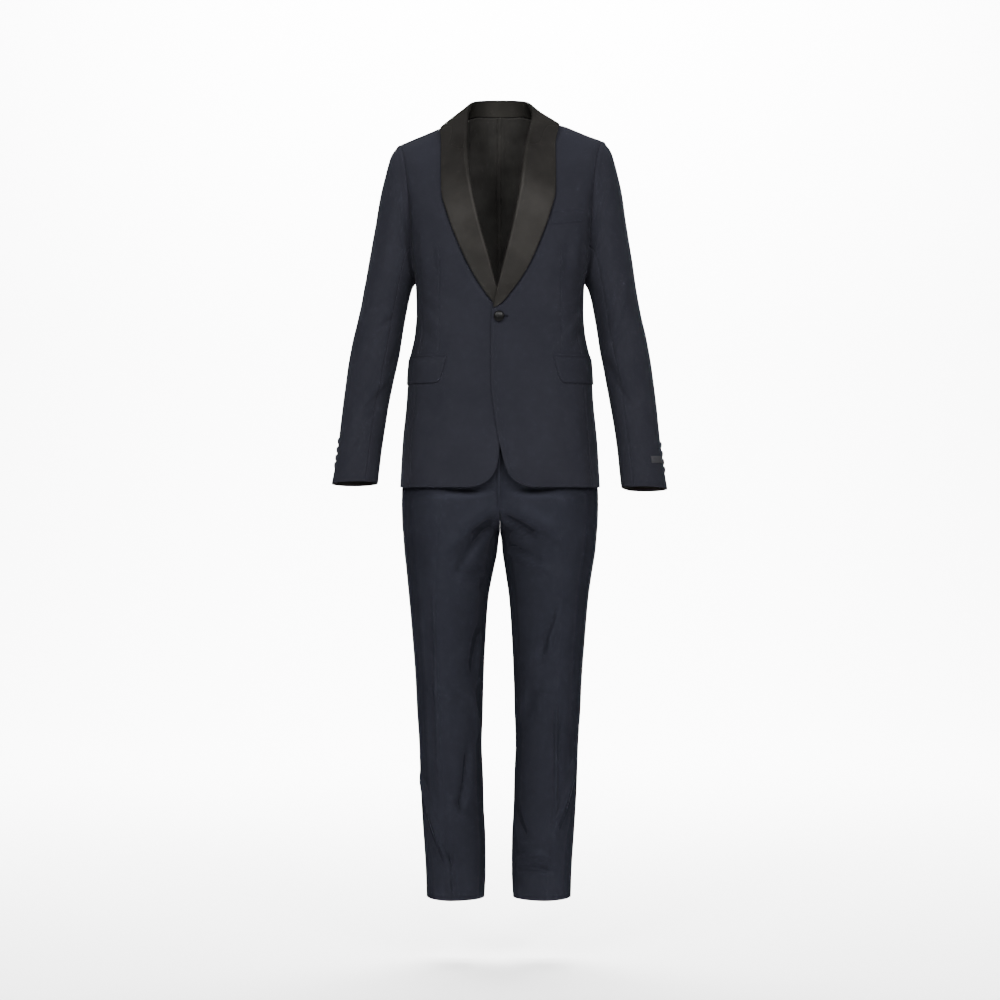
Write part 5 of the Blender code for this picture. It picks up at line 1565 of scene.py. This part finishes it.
FLOATS_SCALE = (2200.0, 260.0, 1.0)  # satin's floats to a metre along and across, as stretched noise


def satin_material(name, dark, light, roughness, specular, facing=0.0):
    """Satin: long floats along the grain and a soft broad sheen."""
    material, nodes, links, shader, where = start_material(name, specular, 0, (1.0, 0.95, 0.88), facing)
    stretch = nodes.new("ShaderNodeMapping")
    set_inputs(stretch, {"Scale": FLOATS_SCALE})
    links.new(where.outputs["UV"], stretch.inputs["Vector"])
    floats = noise_node(nodes, links, stretch.outputs["Vector"], 1.0, 3.0)
    slow = noise_node(nodes, links, where.outputs["Object"], 22.0, 3.0)
    links.new(two_tone(nodes, links, slow, 0.3, 0.7, dark, light), shader.inputs["Base Color"])
    gloss = nodes.new("ShaderNodeMapRange")
    set_inputs(gloss, {"To Min": roughness - 0.06, "To Max": roughness + 0.08})
    links.new(floats, gloss.inputs["Value"])
    links.new(gloss.outputs["Result"], shader.inputs["Roughness"])
    add_bump(nodes, links, shader, floats, 0.25, 0.06)
    return material


wool = cloth_material(
    "navy_wool", (0.0070, 0.0072, 0.0096), (0.0114, 0.0116, 0.0150), 0.85, 0.012, 1.1, 0.10, 0.0
)
trouser_wool = cloth_material(
    "trouser_wool", (0.0069, 0.0073, 0.0100), (0.0113, 0.0118, 0.0157), 0.5, 0.0, 1.0, 0.08, 0.25
)
satin = satin_material("black_satin", (0.0112, 0.0106, 0.0099), (0.0147, 0.0139, 0.0130), 0.5, 0.0, 0.45)
# The collar stand's satin is a darker, less mirroring copy of the black satin: painted shade for the inside
# of the neck
stand_satin_painted_shade = satin_material(
    "stand_satin_painted_shade", (0.0060, 0.0058, 0.0052), (0.0090, 0.0086, 0.0078), 0.5, 0.0, 0.25
)
lining = satin_material("black_lining", (0.0105, 0.0100, 0.0095), (0.0165, 0.0160, 0.0150), 0.45, 0.08)
label_satin = satin_material("label_satin", (0.015, 0.015, 0.017), (0.021, 0.021, 0.023), 0.5, 0.0)
button_black = satin_material("black_button", (0.004, 0.004, 0.005), (0.007, 0.007, 0.008), 0.3, 0.15)
button_satin = satin_material("button_satin", (0.0065, 0.0065, 0.0065), (0.009, 0.009, 0.009), 0.3, 0.0, 0.7)
thread = satin_material("sewing_thread", (0.0030, 0.0030, 0.0040), (0.0050, 0.0050, 0.0065), 0.5, 0.02)

collection = bpy.data.collections.new("tuxedo_cloth")
bpy.context.scene.collection.children.link(collection)

JACKET = (jacket_front, jacket_side, jacket_back, back_lining, sleeve, cuff_buttons, shawl_collar, pocket)
TROUSERS = (trouser_leg, side_stripe, waistband)
for side_name, side_sign in SIDES.items():
    for build in JACKET + TROUSERS:
        build(side_name, side_sign)
for build in (collar_stand, breast_welt, front_button, buttonhole, fly_stitches, cuff_label):
    build()

for node, material in (("fly_shield", trouser_wool), ("fly_zip", button_black)):
    for material_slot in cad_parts[node].material_slots:
        material_slot.material = material


# ---------------------------------------------------------------- floor, light and camera

FRAME_MM = 1950.0  # width of the picture at the garment's middle plane
CAMERA_DISTANCE = 5.0
CAMERA_Z = -0.7215
FLOOR_Z = -1.62
SWEEP_Y, SWEEP = 4.2, 1.6  # where the floor starts to sweep up, and the sweep's radius


def studio_floor():
    """A pale floor that sweeps up into a backdrop."""
    profile = [(-7.0, 0.0)]
    for t in np.radians(np.linspace(0, 90, 16)):
        profile.append((SWEEP_Y + SWEEP * math.sin(t), SWEEP * (1 - math.cos(t))))
    profile += [(5.8, 7.0)]
    mesh = bpy.data.meshes.new("floor")
    points = [(x, y, FLOOR_Z + z) for y, z in profile for x in (-9.0, 9.0)]
    faces = [(2 * i, 2 * i + 1, 2 * i + 3, 2 * i + 2) for i in range(len(profile) - 1)]
    mesh.from_pydata(points, [], faces)
    mesh.shade_smooth()
    material, shader = new_material("pale_floor")
    set_inputs(shader, {"Base Color": (0.95, 0.95, 0.95, 1), "Roughness": 0.9})
    mesh.materials.append(material)
    floor = bpy.data.objects.new("floor", mesh)
    bpy.context.scene.collection.objects.link(floor)


def area_light(name, place, target, size, power, spread=180.0):
    data = bpy.data.lights.new(name, "AREA")
    data.shape, data.size, data.size_y = "RECTANGLE", size[0], size[1]
    data.energy, data.spread = power, math.radians(spread)
    lamp = bpy.data.objects.new(name, data)
    lamp.location = place
    lamp.rotation_euler = (Vector(target) - Vector(place)).to_track_quat("-Z", "Y").to_euler()
    bpy.context.scene.collection.objects.link(lamp)


def studio():
    studio_floor()
    chest = (0, 0, -0.3)
    area_light("key", (-1.7, -3.6, 1.5), chest, (1.3, 1.6), 55, 80.0)
    area_light("fill", (1.7, -3.6, 1.5), chest, (1.3, 1.6), 49, 80.0)
    area_light("front", (0.2, -4.2, 1.3), chest, (1.1, 1.1), 41, 80.0)
    area_light("backdrop_light", (0, 3.1, 2.6), (0, 5.6, -0.6), (5.0, 0.8), 2000)
    area_light("floor_light", (0, 1.4, 2.6), (0, 1.6, -1.6), (4.5, 0.8), 480)
    world = bpy.data.worlds.new("studio")
    world.use_nodes = True
    world.node_tree.nodes["Background"].inputs["Color"].default_value = (1, 1, 1, 1)
    world.node_tree.nodes["Background"].inputs["Strength"].default_value = 0.2
    bpy.context.scene.world = world


def camera():
    data = bpy.data.cameras.new("camera")
    data.sensor_width = 36.0
    data.lens = data.sensor_width * CAMERA_DISTANCE / (FRAME_MM * MM)
    view = bpy.data.objects.new("camera", data)
    view.location = (0, -CAMERA_DISTANCE, CAMERA_Z)
    view.rotation_euler = (math.pi / 2, 0, 0)
    bpy.context.scene.collection.objects.link(view)
    bpy.context.scene.camera = view


studio()
camera()
